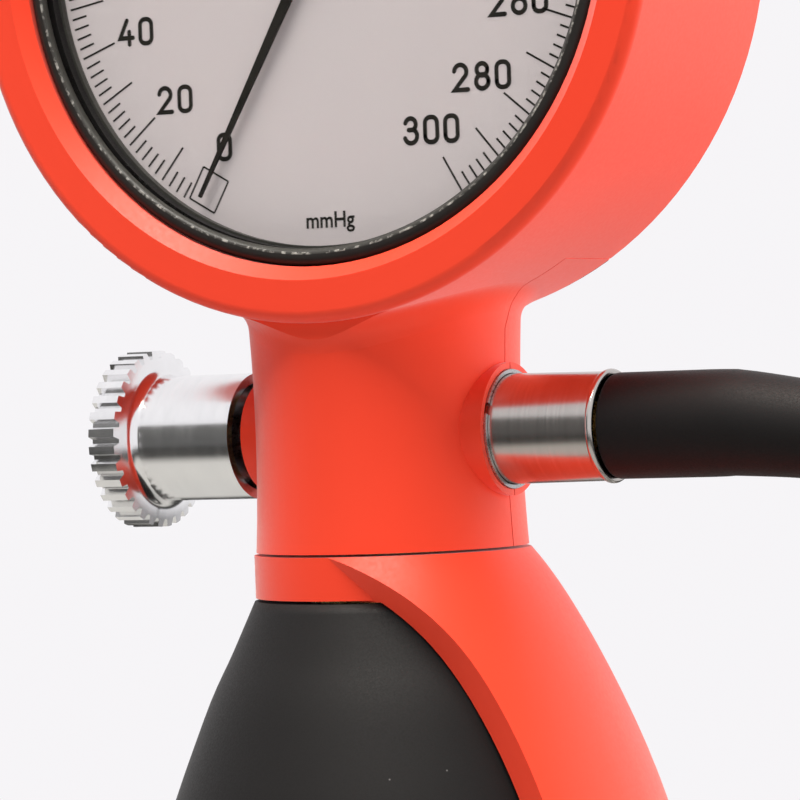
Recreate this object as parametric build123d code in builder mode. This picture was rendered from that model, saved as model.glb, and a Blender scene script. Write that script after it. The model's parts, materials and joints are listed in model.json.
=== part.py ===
from build123d import *
from math import acos, atan2, cos, hypot, pi, radians, sin, sqrt, tan
import os

# One-hand aneroid sphygmomanometer, millimetres, +Z up.
# Origin: on the table, under the axis of the neck. The dial faces -Y, the hose leaves to +X,
# the release valve is at -X.

# General clearances
running = 0.05          # radial clearance of a shaft in its hole
seat = 0.1              # assembly clearance of a fixed piece in its seat
air = 0.3               # free space between pieces that move past each other

# Heights
port_height = 106.0     # air port axis over the table
drum_over_port = 10.5   # lowest point of the drum over the port axis
drum_r = 36.1
dial_rise = drum_r + drum_over_port
dial_z = port_height + dial_rise

# Orange drum
drum_wall = 2.6
drum_front_y = -14.3
drum_back_y = 10.9
drum_edge_round = 1.1
front_ring = 5.25       # width of the drum's face round the opening
opening_r = drum_r - front_ring
bevel_width = 1.25
rebate_wall = 1.5       # wall left round the rear cover
rebate_depth = 1.3

# Stack in front of the dial
dial_face_y = -9.7
dial_thick = 0.5
dial_r = opening_r - 0.95
retainer_thick = 0.8
gasket_thick = 1.0
crystal_thick = 1.0
bezel_lip = 0.5
sight_r = dial_r - 1.0  # radius of the dial that shows
stack_bore_r = dial_r + seat

# Gauge cup
cup_room = 8.5          # from the drum's outside to the cup's bore
cup_bore_r = drum_r - cup_room
cup_wall = 1.5
cup_flange = 2.4
cup_floor_y = 8.0
cup_floor_thick = 1.4

# Neck
neck_r = 13.0
neck_waist_r = 12.65
neck_wall = 2.2
neck_foot = 11.0        # neck's lower end below the port axis
neck_floor = 1.8
neck_flare = 3.0        # radius of the fillet where the neck runs into the drum
neck_depth = 13.2       # the flare is cut flat at this distance front and back
seam_step = 1.6         # how far the seam stands back on the drum
seam_from_boss = 1.615  # from the seam on the drum to the cover screws' bosses
seam_gap = 0.12

# Side bosses of the neck
hose_boss_r = 6.25
hose_boss_reach = 13.3
ferrule_seat_r = 5.45
ferrule_seat_depth = 1.8
snap_r = 5.6            # snap ring in front of the ferrule's seat
snap_thick = 0.5
snap_sunk = 0.3
snap_gap = 1.1          # opening of the snap ring
snap_gap_angle = 158
valve_boss_r = 5.5
valve_boss_reach = 13.2

# Manifold
manifold_r = 6.2
manifold_top = 9.0      # over the port axis
manifold_bottom = 9.5   # below the port axis
arm_r = 4.6
arm_reach = 12.6
chamber_r = 3.2
stem_y = 4.85           # the gauge stem stands behind the neck's axis
stem_r = 2.2
stem_bore = 1.0

# Release valve
spindle_r = 2.0
bush_r = 3.2
needle_gap = 0.05
valve_pitch = 0.8       # advance of the screw in one turn
valve_turns = 1.5
knob_barrel_r = 6.1
knob_skirt_x = -14.35
knob_back_x = -25.3
knob_front_x = -28.5
knob_flange_r = 8.65
knob_teeth = 32
knob_tooth_depth = 0.75
knob_skirt_wall = 0.9
knob_dish_r = 7.0       # shallow hollow in the knob's face
knob_dish = 0.6

# Hose connector
ferrule_r = 5.2
ferrule_wall = 0.35
ferrule_start = 12.4
ferrule_end = 24.2
nipple_r = 2.3
barb_r = 3.0
nipple_bore = 1.4
nipple_end = 35.0
hose_d = 8.8
hose_bore_r = 2.0
hose_over_barb_r = 4.95
hose_end_x = 36.5

# Bulb
bulb_r = 25.0
bulb_wall = 2.6
bulb_top = port_height - 15.6
bulb_mouth_r = 8.0
bulb_floor = 4.0
foot_r = 9.8
foot_recess_r = 7.4
foot_recess = 2.6

# Spoon
collar_r = 13.2
collar_top = port_height - neck_foot - 0.25
collar_bottom = port_height - 15.3
spoon_thick = 2.75
spoon_gap = 0.3
spoon_end_r = 11.8
spoon_end_z = 27.0

# Movement
pillar_top_y = -6.6
plate_top_thick = 1.0
base_front_y = -1.6
base_thick = 1.2
module = 0.3
pinion_teeth = 10
sector_teeth = 112      # of the full circle
pointer_sweep = 300.0
mesh_play = 0.05
sector_front_y = -4.7
sector_thick = 0.8
pivot_r = 0.4
arbor_r = 0.6
sector_pivot_x = -5.5
drive_pin_offset = 2.3
rocking_y = 1.9
rocking_arm_half = 0.3     # half thickness of its push arm
link_gap = 0.1          # play between the linkage's pieces

# Derived places
drum_bore_r = drum_r - drum_wall
rebate_r = drum_r - rebate_wall
rebate_y = drum_back_y - rebate_depth
retainer_front_y = dial_face_y - retainer_thick
gasket_front_y = retainer_front_y - gasket_thick
crystal_front_y = gasket_front_y - crystal_thick
bezel_front_y = crystal_front_y - bezel_lip
dial_back_y = dial_face_y + dial_thick
cup_body_r = cup_bore_r + cup_wall
cup_back_y = cup_floor_y + cup_floor_thick
base_back_y = base_front_y + base_thick
top_front_y = pillar_top_y - plate_top_thick
gear_distance = module * (pinion_teeth + sector_teeth) / 2 + mesh_play / 2
sector_pivot_z = -sqrt(gear_distance ** 2 - sector_pivot_x ** 2)
sector_swing = pointer_sweep * pinion_teeth / sector_teeth
pointer_rest = -pointer_sweep / 2

dial_axis = Axis((0, 0, dial_z), (0, 1, 0))
port_axis = Axis((0, 0, port_height), (1, 0, 0))


def dial_plane(y):
    """Plane parallel to the dial at depth y: local x is right, local y is up, normal to the viewer."""
    return Plane(origin=(0, y, dial_z), x_dir=(1, 0, 0), z_dir=(0, -1, 0))


def port_plane(x):
    """Plane square to the port axis at x: local x is world Y, local y is up, normal to +X."""
    return Plane(origin=(x, 0, port_height), x_dir=(0, 1, 0), z_dir=(1, 0, 0))


def level(z):
    """Horizontal plane at a height over the table."""
    return Plane.XY.offset(z)


depth_profile = Plane.XY.offset(dial_z)                                    # radius, depth
port_profile = Plane(origin=(0, 0, port_height), x_dir=(1, 0, 0), z_dir=(0, -1, 0))
side_view = Plane.YZ


def save(piece, name):
    """Label one finished piece and write its STEP file."""
    piece.part.label = name
    export_step(piece.part, f"parts/{name}.step")


def dish(radius, rise):
    """Height of a spherical cap at half its radius, over its rim."""
    ball = (radius ** 2 + rise ** 2) / (2 * rise)
    return rise - ball + sqrt(ball ** 2 - radius ** 2 / 4)


def on_circle(radius, *angles):
    """Points on a circle, angles in degrees from +x."""
    return [(radius * cos(radians(a)), radius * sin(radians(a))) for a in angles]


os.makedirs("parts", exist_ok=True)

# Places of the fasteners, seen from the front with the dial centre as origin
cover_screw_r = drum_bore_r - 1.8
cover_screws_at = on_circle(cover_screw_r, 45, 135, 225, 315)
base_post_r = cup_bore_r - 3.0
base_posts_at = on_circle(base_post_r, 90, 210, 330)
pillars_at = [(15.0, 8.0), (-14.0, 10.0), (8.5, -18.0)]
screw_boss_r = 2.0
seam_half_width = cover_screws_at[0][0] - screw_boss_r - seam_from_boss
neck_screw_x = 8.4
neck_screw_z = 7.2
neck_screws_at = [(sx * neck_screw_x, sz * neck_screw_z) for sx in (-1, 1) for sz in (-1, 1)]
neck_boss_r = 1.8
small_screw_r = 0.8
small_head_r = 1.5
small_head = 1.0
cover_screw_length = 6.5
base_screw_length = 6.5
socket_head = 0.8       # sunk in the cup's floor
socket_half = 4.5
block_bottom = -sqrt(cup_bore_r ** 2 - socket_half ** 2) + 0.2
block_top = block_bottom + 7.4
socket_screws_at = [(-2.8, block_top + 0.1), (2.8, block_top + 0.1), (0, 3.6)]

# Orange case: drum and neck as one body, which the seam then divides
with BuildPart() as neck_core:
    with BuildSketch(Plane.XZ):
        with BuildLine():
            inside_z = port_height + drum_over_port + 5.5
            inside_r = neck_waist_r + (neck_r - neck_waist_r) * ((inside_z - port_height) / neck_foot) ** 2
            Line((0, port_height - neck_foot), (neck_r, port_height - neck_foot))
            ThreePointArc((neck_r, port_height - neck_foot), (neck_waist_r, port_height), (inside_r, inside_z))
            Line((inside_r, inside_z), (0, inside_z))
            Line((0, inside_z), (0, port_height - neck_foot))
        make_face()
    revolve(axis=Axis.Z)

# The fillet is made on a longer drum, then cut back to the drum's depth
with BuildPart() as neck_solid:
    add(neck_core.part)
    with BuildSketch(dial_plane(0)):
        Circle(drum_r)
    extrude(amount=2 * neck_r, both=True)
    meeting_z = port_height + drum_over_port
    fillet(edges().filter_by_position(Axis.Z, meeting_z - 1, meeting_z + 3.5), neck_flare)
    with BuildSketch(level(port_height - neck_foot)):
        with Locations((0, (drum_back_y - neck_depth) / 2)):
            Rectangle(2 * (neck_r + neck_flare + 1), neck_depth + drum_back_y)
    extrude(amount=neck_foot + drum_over_port + 4.5, mode=Mode.INTERSECT)
    add(neck_core.part)
    with BuildSketch(level(port_height)):
        Rectangle(4 * neck_r, 2 * neck_depth)
    extrude(amount=60, both=True, mode=Mode.INTERSECT)

with BuildPart() as case_body:
    add(neck_solid.part)
    with BuildSketch(depth_profile):
        with BuildLine():
            Polyline((0, drum_front_y), (drum_r, drum_front_y), (drum_r, drum_back_y), (0, drum_back_y),
                     close=True)
        make_face()
        fillet(vertices().group_by(Axis.X)[-1].group_by(Axis.Y)[0], drum_edge_round)
    revolve(axis=dial_axis)
    with BuildSketch(level(port_height + drum_over_port + 1.7)):
        with Locations((0, drum_back_y + 5)):
            Rectangle(4 * neck_r, 10)
    extrude(amount=20, mode=Mode.SUBTRACT)
    with BuildSketch(port_plane(0)):
        Circle(hose_boss_r)
    extrude(amount=hose_boss_reach)
    with BuildSketch(port_plane(0)):
        Circle(valve_boss_r)
    extrude(amount=-valve_boss_reach)
    with BuildSketch(depth_profile):
        with BuildLine():
            Polyline((0, drum_front_y - 1), (opening_r + bevel_width, drum_front_y - 1),
                     (opening_r + bevel_width, drum_front_y), (opening_r, bezel_front_y),
                     (opening_r, gasket_front_y), (drum_bore_r, gasket_front_y), (drum_bore_r, rebate_y),
                     (rebate_r, rebate_y), (rebate_r, drum_back_y + 1), (0, drum_back_y + 1), close=True)
        make_face()
    revolve(axis=dial_axis, mode=Mode.SUBTRACT)
    hollow_foot = port_height - neck_foot + neck_floor
    hollow_height = port_height + drum_over_port - 1.3 - hollow_foot
    with BuildSketch(level(hollow_foot)):
        Circle(neck_r - neck_wall)
    extrude(amount=hollow_height, mode=Mode.SUBTRACT)
    with BuildSketch(level(port_height - neck_foot)):
        Circle(bulb_mouth_r + air)
    extrude(amount=neck_floor, mode=Mode.SUBTRACT)
    with BuildSketch(level(port_height)):
        with Locations((0, stem_y)):
            Circle(stem_r + 0.7)
    extrude(amount=16, mode=Mode.SUBTRACT)
    with BuildSketch(port_plane(0)):
        Circle(arm_r + seat)
    extrude(amount=hose_boss_reach + 1, both=True, mode=Mode.SUBTRACT)
    with BuildSketch(port_plane(hose_boss_reach - ferrule_seat_depth)):
        Circle(ferrule_seat_r)
    extrude(amount=3, mode=Mode.SUBTRACT)
    with BuildSketch(port_plane(hose_boss_reach - snap_sunk)):
        Circle(snap_r + running)
    extrude(amount=3, mode=Mode.SUBTRACT)
    with BuildSketch(dial_plane(rebate_y)):
        with Locations(cover_screws_at):
            Circle(screw_boss_r)
        Circle(drum_bore_r + 0.5, mode=Mode.INTERSECT)
    extrude(amount=rebate_y - (gasket_front_y + cup_flange + 2))
    neck_view = Plane(origin=(0, 0, port_height), x_dir=(1, 0, 0), z_dir=(0, -1, 0))
    with BuildSketch(neck_view):
        with Locations(neck_screws_at):
            Circle(neck_boss_r)
    extrude(amount=7.6, both=True)
    with BuildSketch(dial_plane(rebate_y)):
        with Locations(cover_screws_at):
            Circle(small_screw_r + running)
    extrude(amount=7, mode=Mode.SUBTRACT)

# The seam: up the middle of the neck, then a step back along the drum
seam_low = port_height + drum_over_port - 1.0
seam_high = port_height + drum_over_port + 2.0
seam_end = dial_z - 12


def seam_outline(shift):
    """Side outline of the room behind the seam, moved back by the given amount."""
    Polyline((shift, -1), (shift, seam_low), (seam_step + shift, seam_high), (seam_step + shift, seam_end),
             (40, seam_end), (40, -1), close=True)


with BuildPart() as front_case_shell:
    add(case_body.part)
    with BuildSketch(side_view):
        with BuildLine():
            seam_outline(0)
        make_face()
    extrude(amount=seam_half_width, both=True, mode=Mode.SUBTRACT)
    with BuildSketch(neck_view):
        with Locations(neck_screws_at):
            Circle(small_screw_r + running)
    extrude(amount=6, mode=Mode.SUBTRACT)

head_seat_y = 6.9
with BuildPart() as rear_neck_cover:
    add(case_body.part)
    with BuildSketch(side_view):
        with BuildLine():
            seam_outline(seam_gap)
        make_face()
    extrude(amount=seam_half_width - seam_gap, both=True, mode=Mode.INTERSECT)
    with BuildSketch(neck_view):
        with Locations(neck_screws_at):
            Circle(small_screw_r + running)
    extrude(amount=-20, mode=Mode.SUBTRACT)
    with BuildSketch(neck_view.offset(-head_seat_y)):
        with Locations(neck_screws_at):
            Circle(small_head_r + seat)
    extrude(amount=-20, mode=Mode.SUBTRACT)

with BuildPart() as neck_cover_screws:
    with BuildSketch(neck_view.offset(-head_seat_y)):
        with Locations(neck_screws_at):
            Circle(small_screw_r)
    extrude(amount=head_seat_y + 5)
    with BuildSketch(neck_view.offset(-head_seat_y)):
        with Locations(neck_screws_at):
            Circle(small_head_r)
    extrude(amount=-small_head)
    with BuildSketch(neck_view.offset(-head_seat_y - small_head)):
        with Locations(neck_screws_at):
            Rectangle(2.0, 0.4)
            Rectangle(0.4, 2.0)
    extrude(amount=0.5, mode=Mode.SUBTRACT)

# Rear cover of the drum, black, gently domed, with a lip below that shows behind the orange patch
cover_r = rebate_r - 0.2
cover_edge_y = drum_back_y + 0.3
cover_dome_y = 13.2
lip_r = drum_r - 0.1
lip_low = drum_r - 1.8          # the lip stops over the neck's back
lip_high = drum_r - 5.2
with BuildPart() as rear_case_cover:
    with BuildSketch(depth_profile):
        with BuildLine():
            Polyline((0, rebate_y), (cover_r, rebate_y), (cover_r, cover_edge_y))
            ThreePointArc((cover_r, cover_edge_y),
                          (cover_r / 2, cover_edge_y + dish(cover_r, cover_dome_y - cover_edge_y)),
                          (0, cover_dome_y))
            Line((0, cover_dome_y), (0, rebate_y))
        make_face()
    revolve(axis=dial_axis)
    with BuildSketch(dial_plane(rebate_y)):
        Circle(cup_body_r - 0.5)
        Circle(cup_body_r - 3.5, mode=Mode.SUBTRACT)
    extrude(amount=rebate_y - cup_back_y)
    with BuildSketch(dial_plane(rebate_y)):
        Circle(cup_body_r - 6)
    extrude(amount=-1.2, mode=Mode.SUBTRACT)
    with BuildSketch(dial_plane(drum_back_y + 0.5)):
        Circle(lip_r)
        Circle(cover_r - 1, mode=Mode.SUBTRACT)
        with Locations((0, -(lip_low + lip_high) / 2)):
            Rectangle(2 * seam_half_width - 1, lip_low - lip_high, mode=Mode.INTERSECT)
    extrude(amount=0.45)
    with BuildSketch(dial_plane(0)):
        with Locations(cover_screws_at):
            Circle(small_screw_r + seat)
    extrude(amount=-20, mode=Mode.SUBTRACT)
    with BuildSketch(dial_plane(drum_back_y)):
        with Locations(cover_screws_at):
            Circle(small_head_r + seat)
    extrude(amount=-5, mode=Mode.SUBTRACT)

with BuildPart() as rear_cover_screws:
    with BuildSketch(dial_plane(drum_back_y)):
        with Locations(cover_screws_at):
            Circle(small_screw_r)
    extrude(amount=cover_screw_length)
    with BuildSketch(dial_plane(drum_back_y)):
        with Locations(cover_screws_at):
            Circle(small_head_r)
    extrude(amount=-small_head)
    with BuildSketch(dial_plane(drum_back_y + small_head)):
        with Locations(cover_screws_at):
            Rectangle(2.0, 0.4)
            Rectangle(0.4, 2.0)
    extrude(amount=0.5, mode=Mode.SUBTRACT)

# Gauge cup with the posts that carry the movement
post_r = 2.2
with BuildPart() as gauge_cup:
    with BuildSketch(depth_profile):
        with BuildLine():
            Polyline((0, cup_floor_y), (cup_bore_r, cup_floor_y), (cup_bore_r, dial_back_y),
                     (stack_bore_r, dial_back_y), (stack_bore_r, retainer_front_y),
                     (drum_bore_r - air, retainer_front_y), (drum_bore_r - air, retainer_front_y + cup_flange),
                     (cup_body_r, retainer_front_y + cup_flange), (cup_body_r, cup_back_y), (0, cup_back_y),
                     close=True)
        make_face()
    revolve(axis=dial_axis)
    with BuildSketch(dial_plane(cup_floor_y)):
        with Locations(base_posts_at):
            Circle(post_r)
    extrude(amount=cup_floor_y - (base_front_y + base_thick))
    with BuildSketch(dial_plane(cup_floor_y)):
        with Locations(base_posts_at):
            Circle(small_screw_r + running)
    extrude(amount=cup_floor_y - base_back_y, mode=Mode.SUBTRACT)
    with BuildSketch(level(port_height)):
        with Locations((0, stem_y)):
            Circle(stem_r + running)
    extrude(amount=dial_rise, mode=Mode.SUBTRACT)
    with BuildSketch(dial_plane(cup_back_y)):
        with Locations(socket_screws_at):
            Circle(small_screw_r + running)
    extrude(amount=cup_floor_thick, mode=Mode.SUBTRACT)
    with BuildSketch(dial_plane(cup_back_y)):
        with Locations(socket_screws_at):
            Circle(small_head_r + running)
    extrude(amount=socket_head, mode=Mode.SUBTRACT)

bezel_bore_front = sight_r + 0.25
with BuildPart() as bezel_ring:
    with BuildSketch(depth_profile):
        with BuildLine():
            Polyline((bezel_bore_front + 0.55, bezel_front_y), (opening_r - seat, bezel_front_y),
                     (opening_r - seat, gasket_front_y), (drum_bore_r - air, gasket_front_y),
                     (drum_bore_r - air, retainer_front_y), (stack_bore_r, retainer_front_y),
                     (stack_bore_r, crystal_front_y), (bezel_bore_front, crystal_front_y), close=True)
        make_face()
    revolve(axis=dial_axis)

with BuildPart() as crystal:
    with BuildSketch(dial_plane(gasket_front_y)):
        Circle(dial_r)
    extrude(amount=crystal_thick)
    chamfer(faces().sort_by(Axis.Y)[0].edges(), 0.15)

with BuildPart() as crystal_gasket:
    with BuildSketch(dial_plane(retainer_front_y)):
        Circle(dial_r)
        Circle(sight_r + 0.25, mode=Mode.SUBTRACT)
    extrude(amount=gasket_thick)

with BuildPart() as dial_retaining_ring:
    with BuildSketch(dial_plane(dial_face_y)):
        Circle(dial_r)
        Circle(sight_r, mode=Mode.SUBTRACT)
    extrude(amount=retainer_thick)

dial_hole_r = 1.6
with BuildPart() as dial_plate:
    with BuildSketch(dial_plane(dial_back_y)):
        Circle(dial_r)
        Circle(dial_hole_r, mode=Mode.SUBTRACT)
    extrude(amount=dial_thick)

# Movement plates
slot_z = sector_pivot_z + drive_pin_offset
lug_thick = 1.2
lug_low_z = slot_z - 3.4
lug_high_z = 2.4
lug_depth = rocking_y + 0.95 - base_back_y
with BuildPart() as movement_base_plate:
    with BuildSketch(dial_plane(base_back_y)):
        Circle(cup_bore_r - air)
        with Locations((sector_pivot_x, slot_z)):
            Rectangle(5.4, 2.6, mode=Mode.SUBTRACT)
        with Locations(base_posts_at):
            Circle(small_screw_r + seat, mode=Mode.SUBTRACT)
        with Locations(pillars_at):
            Circle(small_screw_r + seat, mode=Mode.SUBTRACT)
        with Locations((0, 0), (sector_pivot_x, sector_pivot_z)):
            Circle(pivot_r + running, mode=Mode.SUBTRACT)
        with Locations((14, -5), (-16, -4), (2, cup_bore_r - 10.6)):
            Circle(4.5, mode=Mode.SUBTRACT)
    extrude(amount=base_thick)
    with BuildSketch(dial_plane(base_back_y)):
        with Locations((sector_pivot_x, lug_low_z), (sector_pivot_x, lug_high_z)):
            Rectangle(2.6, lug_thick)
    extrude(amount=-lug_depth)
    with BuildSketch(level(dial_z)):
        with Locations((sector_pivot_x, rocking_y)):
            Circle(arbor_r + running)
    extrude(amount=30, both=True, mode=Mode.SUBTRACT)

with BuildPart() as movement_top_plate:
    with BuildSketch(dial_plane(pillar_top_y)):
        with Locations(pillars_at):
            Circle(3.2)
        with Locations((sector_pivot_x, sector_pivot_z)):
            Circle(3.2)
        make_hull()
        with Locations((0, 0), (sector_pivot_x, sector_pivot_z)):
            Circle(pivot_r + running, mode=Mode.SUBTRACT)
        Circle(arbor_r + running, mode=Mode.SUBTRACT)
        with Locations(pillars_at):
            Circle(small_screw_r + seat, mode=Mode.SUBTRACT)
        with Locations((6.5, -7.5), (-7.5, 2.5)):
            Circle(2.6, mode=Mode.SUBTRACT)
    extrude(amount=plate_top_thick)

pillar_r = 1.9
with BuildPart() as movement_pillars:
    with BuildSketch(dial_plane(base_front_y)):
        with Locations(pillars_at):
            Circle(pillar_r)
            Circle(small_screw_r + running, mode=Mode.SUBTRACT)
    extrude(amount=base_front_y - pillar_top_y)


def screw_set(places, under_head_y, length):
    """Slotted screws whose heads stand in front of the given depth."""
    with BuildPart() as screws:
        with BuildSketch(dial_plane(under_head_y)):
            with Locations(places):
                Circle(small_head_r)
        extrude(amount=small_head)
        with BuildSketch(dial_plane(under_head_y)):
            with Locations(places):
                Circle(small_screw_r)
        extrude(amount=-length)
        with BuildSketch(dial_plane(under_head_y - small_head)):
            with Locations(places):
                Rectangle(4, 0.4)
        extrude(amount=-0.4, mode=Mode.SUBTRACT)
    return screws


movement_screws = screw_set(pillars_at, top_front_y, base_back_y - top_front_y)
base_plate_screws = screw_set(base_posts_at, base_front_y, base_screw_length)

# Gears, as tooth outlines on involute flanks with play


def involute(angle):
    return tan(angle) - angle


def tooth_points(teeth, turn, play, root_depth, tip_height):
    """Outline points of one tooth at an angle from +x, for a gear at the origin."""
    pitch = module * teeth / 2
    base = pitch * cos(radians(20))
    root, tip = pitch - root_depth, pitch + tip_height
    half_at_pitch = pi / (2 * teeth) - play / (2 * pitch)

    def half_angle(r):
        if r <= base:
            return half_at_pitch + involute(radians(20))
        return half_at_pitch + involute(radians(20)) - involute(acos(base / r))

    radii = (root, (root + pitch) / 2, pitch, (pitch + tip) / 2, tip)
    rising = [(r, turn - half_angle(r)) for r in radii]
    falling = [(r, turn + half_angle(r)) for r in reversed(radii)]
    return [(r * cos(a), r * sin(a)) for r, a in rising + falling]


tip_height = 0.8 * module
root_depth = 1.15 * module
tooth_play = 0.06
mesh_angle = atan2(-sector_pivot_z, -sector_pivot_x)      # from the sector's pivot to the dial centre
pinion_thick = 2.0
pinion_back_y = sector_front_y + sector_thick + 0.6
collet_r = 1.3
collet_back_y = -2.0
hub_r = 1.3
pointer_y = dial_face_y - 0.6
pointer_thick = 0.3
arbor_front_y = pointer_y - pointer_thick - 0.15
with BuildPart() as pinion_arbor:
    with BuildSketch(dial_plane(base_back_y - 0.1)):
        Circle(pivot_r)
    extrude(amount=1.5)
    with BuildSketch(dial_plane(base_front_y - air)):
        Circle(arbor_r)
    extrude(amount=base_front_y - air - arbor_front_y)
    with BuildSketch(dial_plane(pinion_back_y)):
        with BuildLine():
            # at the middle of its travel a gap of the pinion faces the sector
            start = mesh_angle + pi + pi / pinion_teeth
            outline = []
            for i in range(pinion_teeth):
                outline += tooth_points(pinion_teeth, start + 2 * pi * i / pinion_teeth, tooth_play,
                                        root_depth, tip_height)
            Polyline(*outline, close=True)
        make_face()
    extrude(amount=pinion_thick)

sector_arc = radians(20)
sector_pitch_r = module * sector_teeth / 2
with BuildPart() as sector_blank:
    with BuildSketch(dial_plane(sector_front_y + sector_thick)):
        with BuildLine():
            count = int(sector_arc * sector_teeth / (2 * pi))
            outline = []
            for i in range(-count, count + 1):
                outline += tooth_points(sector_teeth, mesh_angle + 2 * pi * i / sector_teeth, tooth_play,
                                        root_depth, tip_height)
            Polyline((0, 0), *outline, close=True)
        make_face()
        Circle(2.6)
        window = [(r * cos(mesh_angle + a), r * sin(mesh_angle + a))
                  for r, a in ((5.5, -0.13), (13.5, -0.24), (13.5, 0.24), (5.5, 0.13))]
        Polygon(*window, align=None, mode=Mode.SUBTRACT)
        Circle(arbor_r + running / 5, mode=Mode.SUBTRACT)
    extrude(amount=sector_thick)
    drive_pin_r = 0.3
    drive_pin_reach = 1.4
    with BuildSketch(dial_plane(sector_front_y + sector_thick - 0.2)):
        with Locations((0, drive_pin_offset)):
            Circle(drive_pin_r)
    extrude(amount=-drive_pin_reach - 0.2)

# At rest the sector stands half its swing clockwise of the middle, the pinion half its turn the other way
rest_turn = sector_swing / 2
with BuildPart() as sector_gear:
    turned = sector_blank.part.rotate(dial_axis, rest_turn)
    add(turned.translate((sector_pivot_x, 0, sector_pivot_z)))

with BuildPart() as pinion_at_rest:
    add(pinion_arbor.part.rotate(dial_axis, pointer_rest))

with BuildPart() as sector_arbor:
    with BuildSketch(dial_plane(base_back_y - 0.1)):
        with Locations((sector_pivot_x, sector_pivot_z)):
            Circle(pivot_r)
    extrude(amount=base_back_y - 0.1 - (top_front_y + 0.2))
    with BuildSketch(dial_plane(base_front_y - 0.2)):
        with Locations((sector_pivot_x, sector_pivot_z)):
            Circle(arbor_r)
    extrude(amount=base_front_y - 0.2 - (pillar_top_y + 0.2))

# Rocking shaft: the capsule pushes its flat arm, its upright arm pushes the sector's pin
upright_thick = 0.8
upright_offset = drive_pin_offset * sin(radians(rest_turn)) + drive_pin_r + link_gap
upright_x = sector_pivot_x + upright_offset
upright_front_y = sector_front_y + sector_thick + 0.4
upright_half = 0.6
push_half = 1.0
arm_back_y = rocking_y + rocking_arm_half
arm_reach_x = 1.2
with BuildPart() as rocking_shaft:
    with BuildSketch(level(dial_z + lug_low_z - 0.9)):
        with Locations((sector_pivot_x, rocking_y)):
            Circle(arbor_r)
    extrude(amount=lug_high_z - lug_low_z + 1.8)
    with BuildSketch(dial_plane(arm_back_y)):
        with Locations(((sector_pivot_x + arm_reach_x) / 2, 0)):
            Rectangle(arm_reach_x - sector_pivot_x, 2 * push_half)
    extrude(amount=2 * rocking_arm_half)
    with BuildSketch(dial_plane(rocking_y + 0.4)):
        with Locations(((sector_pivot_x + upright_x + upright_thick) / 2, slot_z)):
            Rectangle(upright_offset + upright_thick, 2 * upright_half)
    extrude(amount=0.8)
    with BuildSketch(dial_plane(rocking_y)):
        with Locations((upright_x + upright_thick / 2, slot_z)):
            Rectangle(upright_thick, 2 * upright_half)
    extrude(amount=rocking_y - upright_front_y)

# Hairspring: a flat spiral of half circles, its collet on the arbor and its stud on the base plate
spring_inner_r = 1.6
spring_pitch = 0.8
spring_wire = 0.25
spring_halves = 9
spring_back_y = -2.2
spring_height = 0.5
spring_turns = [(spring_pitch / 2 * (i % 2), 1 if i % 2 == 0 else -1, spring_inner_r + i * spring_pitch / 2)
                for i in range(spring_halves)]
last_centre, last_side, last_r = spring_turns[-1]
spring_end = last_centre - last_side * last_r
with BuildPart() as hairspring:
    with BuildSketch(dial_plane(spring_back_y)):
        with BuildLine():
            for edge in (0, spring_wire):
                for centre, side, r in spring_turns:
                    ThreePointArc((centre + side * (r + edge), 0), (centre, side * (r + edge)),
                                  (centre - side * (r + edge), 0))
            Line((spring_inner_r, 0), (spring_inner_r + spring_wire, 0))
            Line((spring_end, 0), (spring_end - last_side * spring_wire, 0))
        make_face()
    extrude(amount=spring_height)

with BuildPart() as hairspring_collet:
    with BuildSketch(dial_plane(collet_back_y)):
        Circle(collet_r)
        Circle(arbor_r + running / 5, mode=Mode.SUBTRACT)
    extrude(amount=0.8)

stud_r = 0.6
stud_place = (spring_end - last_side * (spring_wire + stud_r + 0.05), 0)
with BuildPart() as hairspring_stud:
    with BuildSketch(dial_plane(base_front_y)):
        with Locations(stud_place):
            Circle(stud_r)
    extrude(amount=1.4)

# Pointer with its bush
pointer_tip_r = sight_r - 1.55
with BuildPart() as pointer:
    with BuildSketch(dial_plane(pointer_y)):
        with BuildLine():
            Polyline((-0.95, -8.5), (0.95, -8.5), (0.62, 0), (0.2, pointer_tip_r - 3), (0.16, pointer_tip_r),
                     (-0.16, pointer_tip_r), (-0.2, pointer_tip_r - 3), (-0.62, 0), close=True)
        make_face()
        Circle(2.4)
        Circle(hub_r, mode=Mode.SUBTRACT)
    extrude(amount=pointer_thick)

with BuildPart() as pointer_bush:
    with BuildSketch(dial_plane(pointer_y + 0.3)):
        Circle(hub_r)
        Circle(arbor_r + running / 5, mode=Mode.SUBTRACT)
    extrude(amount=0.3 + pointer_thick + 0.05)

with BuildPart() as pointer_at_rest:
    add(pointer.part.rotate(dial_axis, pointer_rest))

# Aneroid capsule: two corrugated halves joined at the rim, and the boss in front
capsule_r = cup_bore_r - 11.1
capsule_rim_y = 4.5
capsule_skin = 0.3
capsule_bulge = 1.1
capsule_flat_r = 3.0
capsule_waves = 3


def capsule_wave(face_y, sign):
    """Corrugated line from the flat middle to the rim, at the depth of the skin's outer side."""
    step = (capsule_r - 1.5 - capsule_flat_r) / (2 * capsule_waves)
    points = [(capsule_flat_r + i * step, face_y + sign * (0.35 if i % 2 else 0.0))
              for i in range(2 * capsule_waves + 1)]
    return [(0, face_y)] + points + [(capsule_r, capsule_rim_y)]


def capsule_outline(sign):
    """Outline of one half of the capsule; sign is -1 for the front half and 1 for the rear half."""
    face_y = capsule_rim_y + sign * capsule_bulge
    outer = capsule_wave(face_y, -sign)
    inner = [(r, y - sign * capsule_skin) for r, y in outer[:-1]] + [(capsule_r - 0.9, capsule_rim_y)]
    Polyline(*outer, *reversed(inner), close=True)


with BuildPart() as capsule_front_half:
    with BuildSketch(depth_profile):
        with BuildLine():
            capsule_outline(-1)
        make_face()
    revolve(axis=dial_axis)

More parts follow.
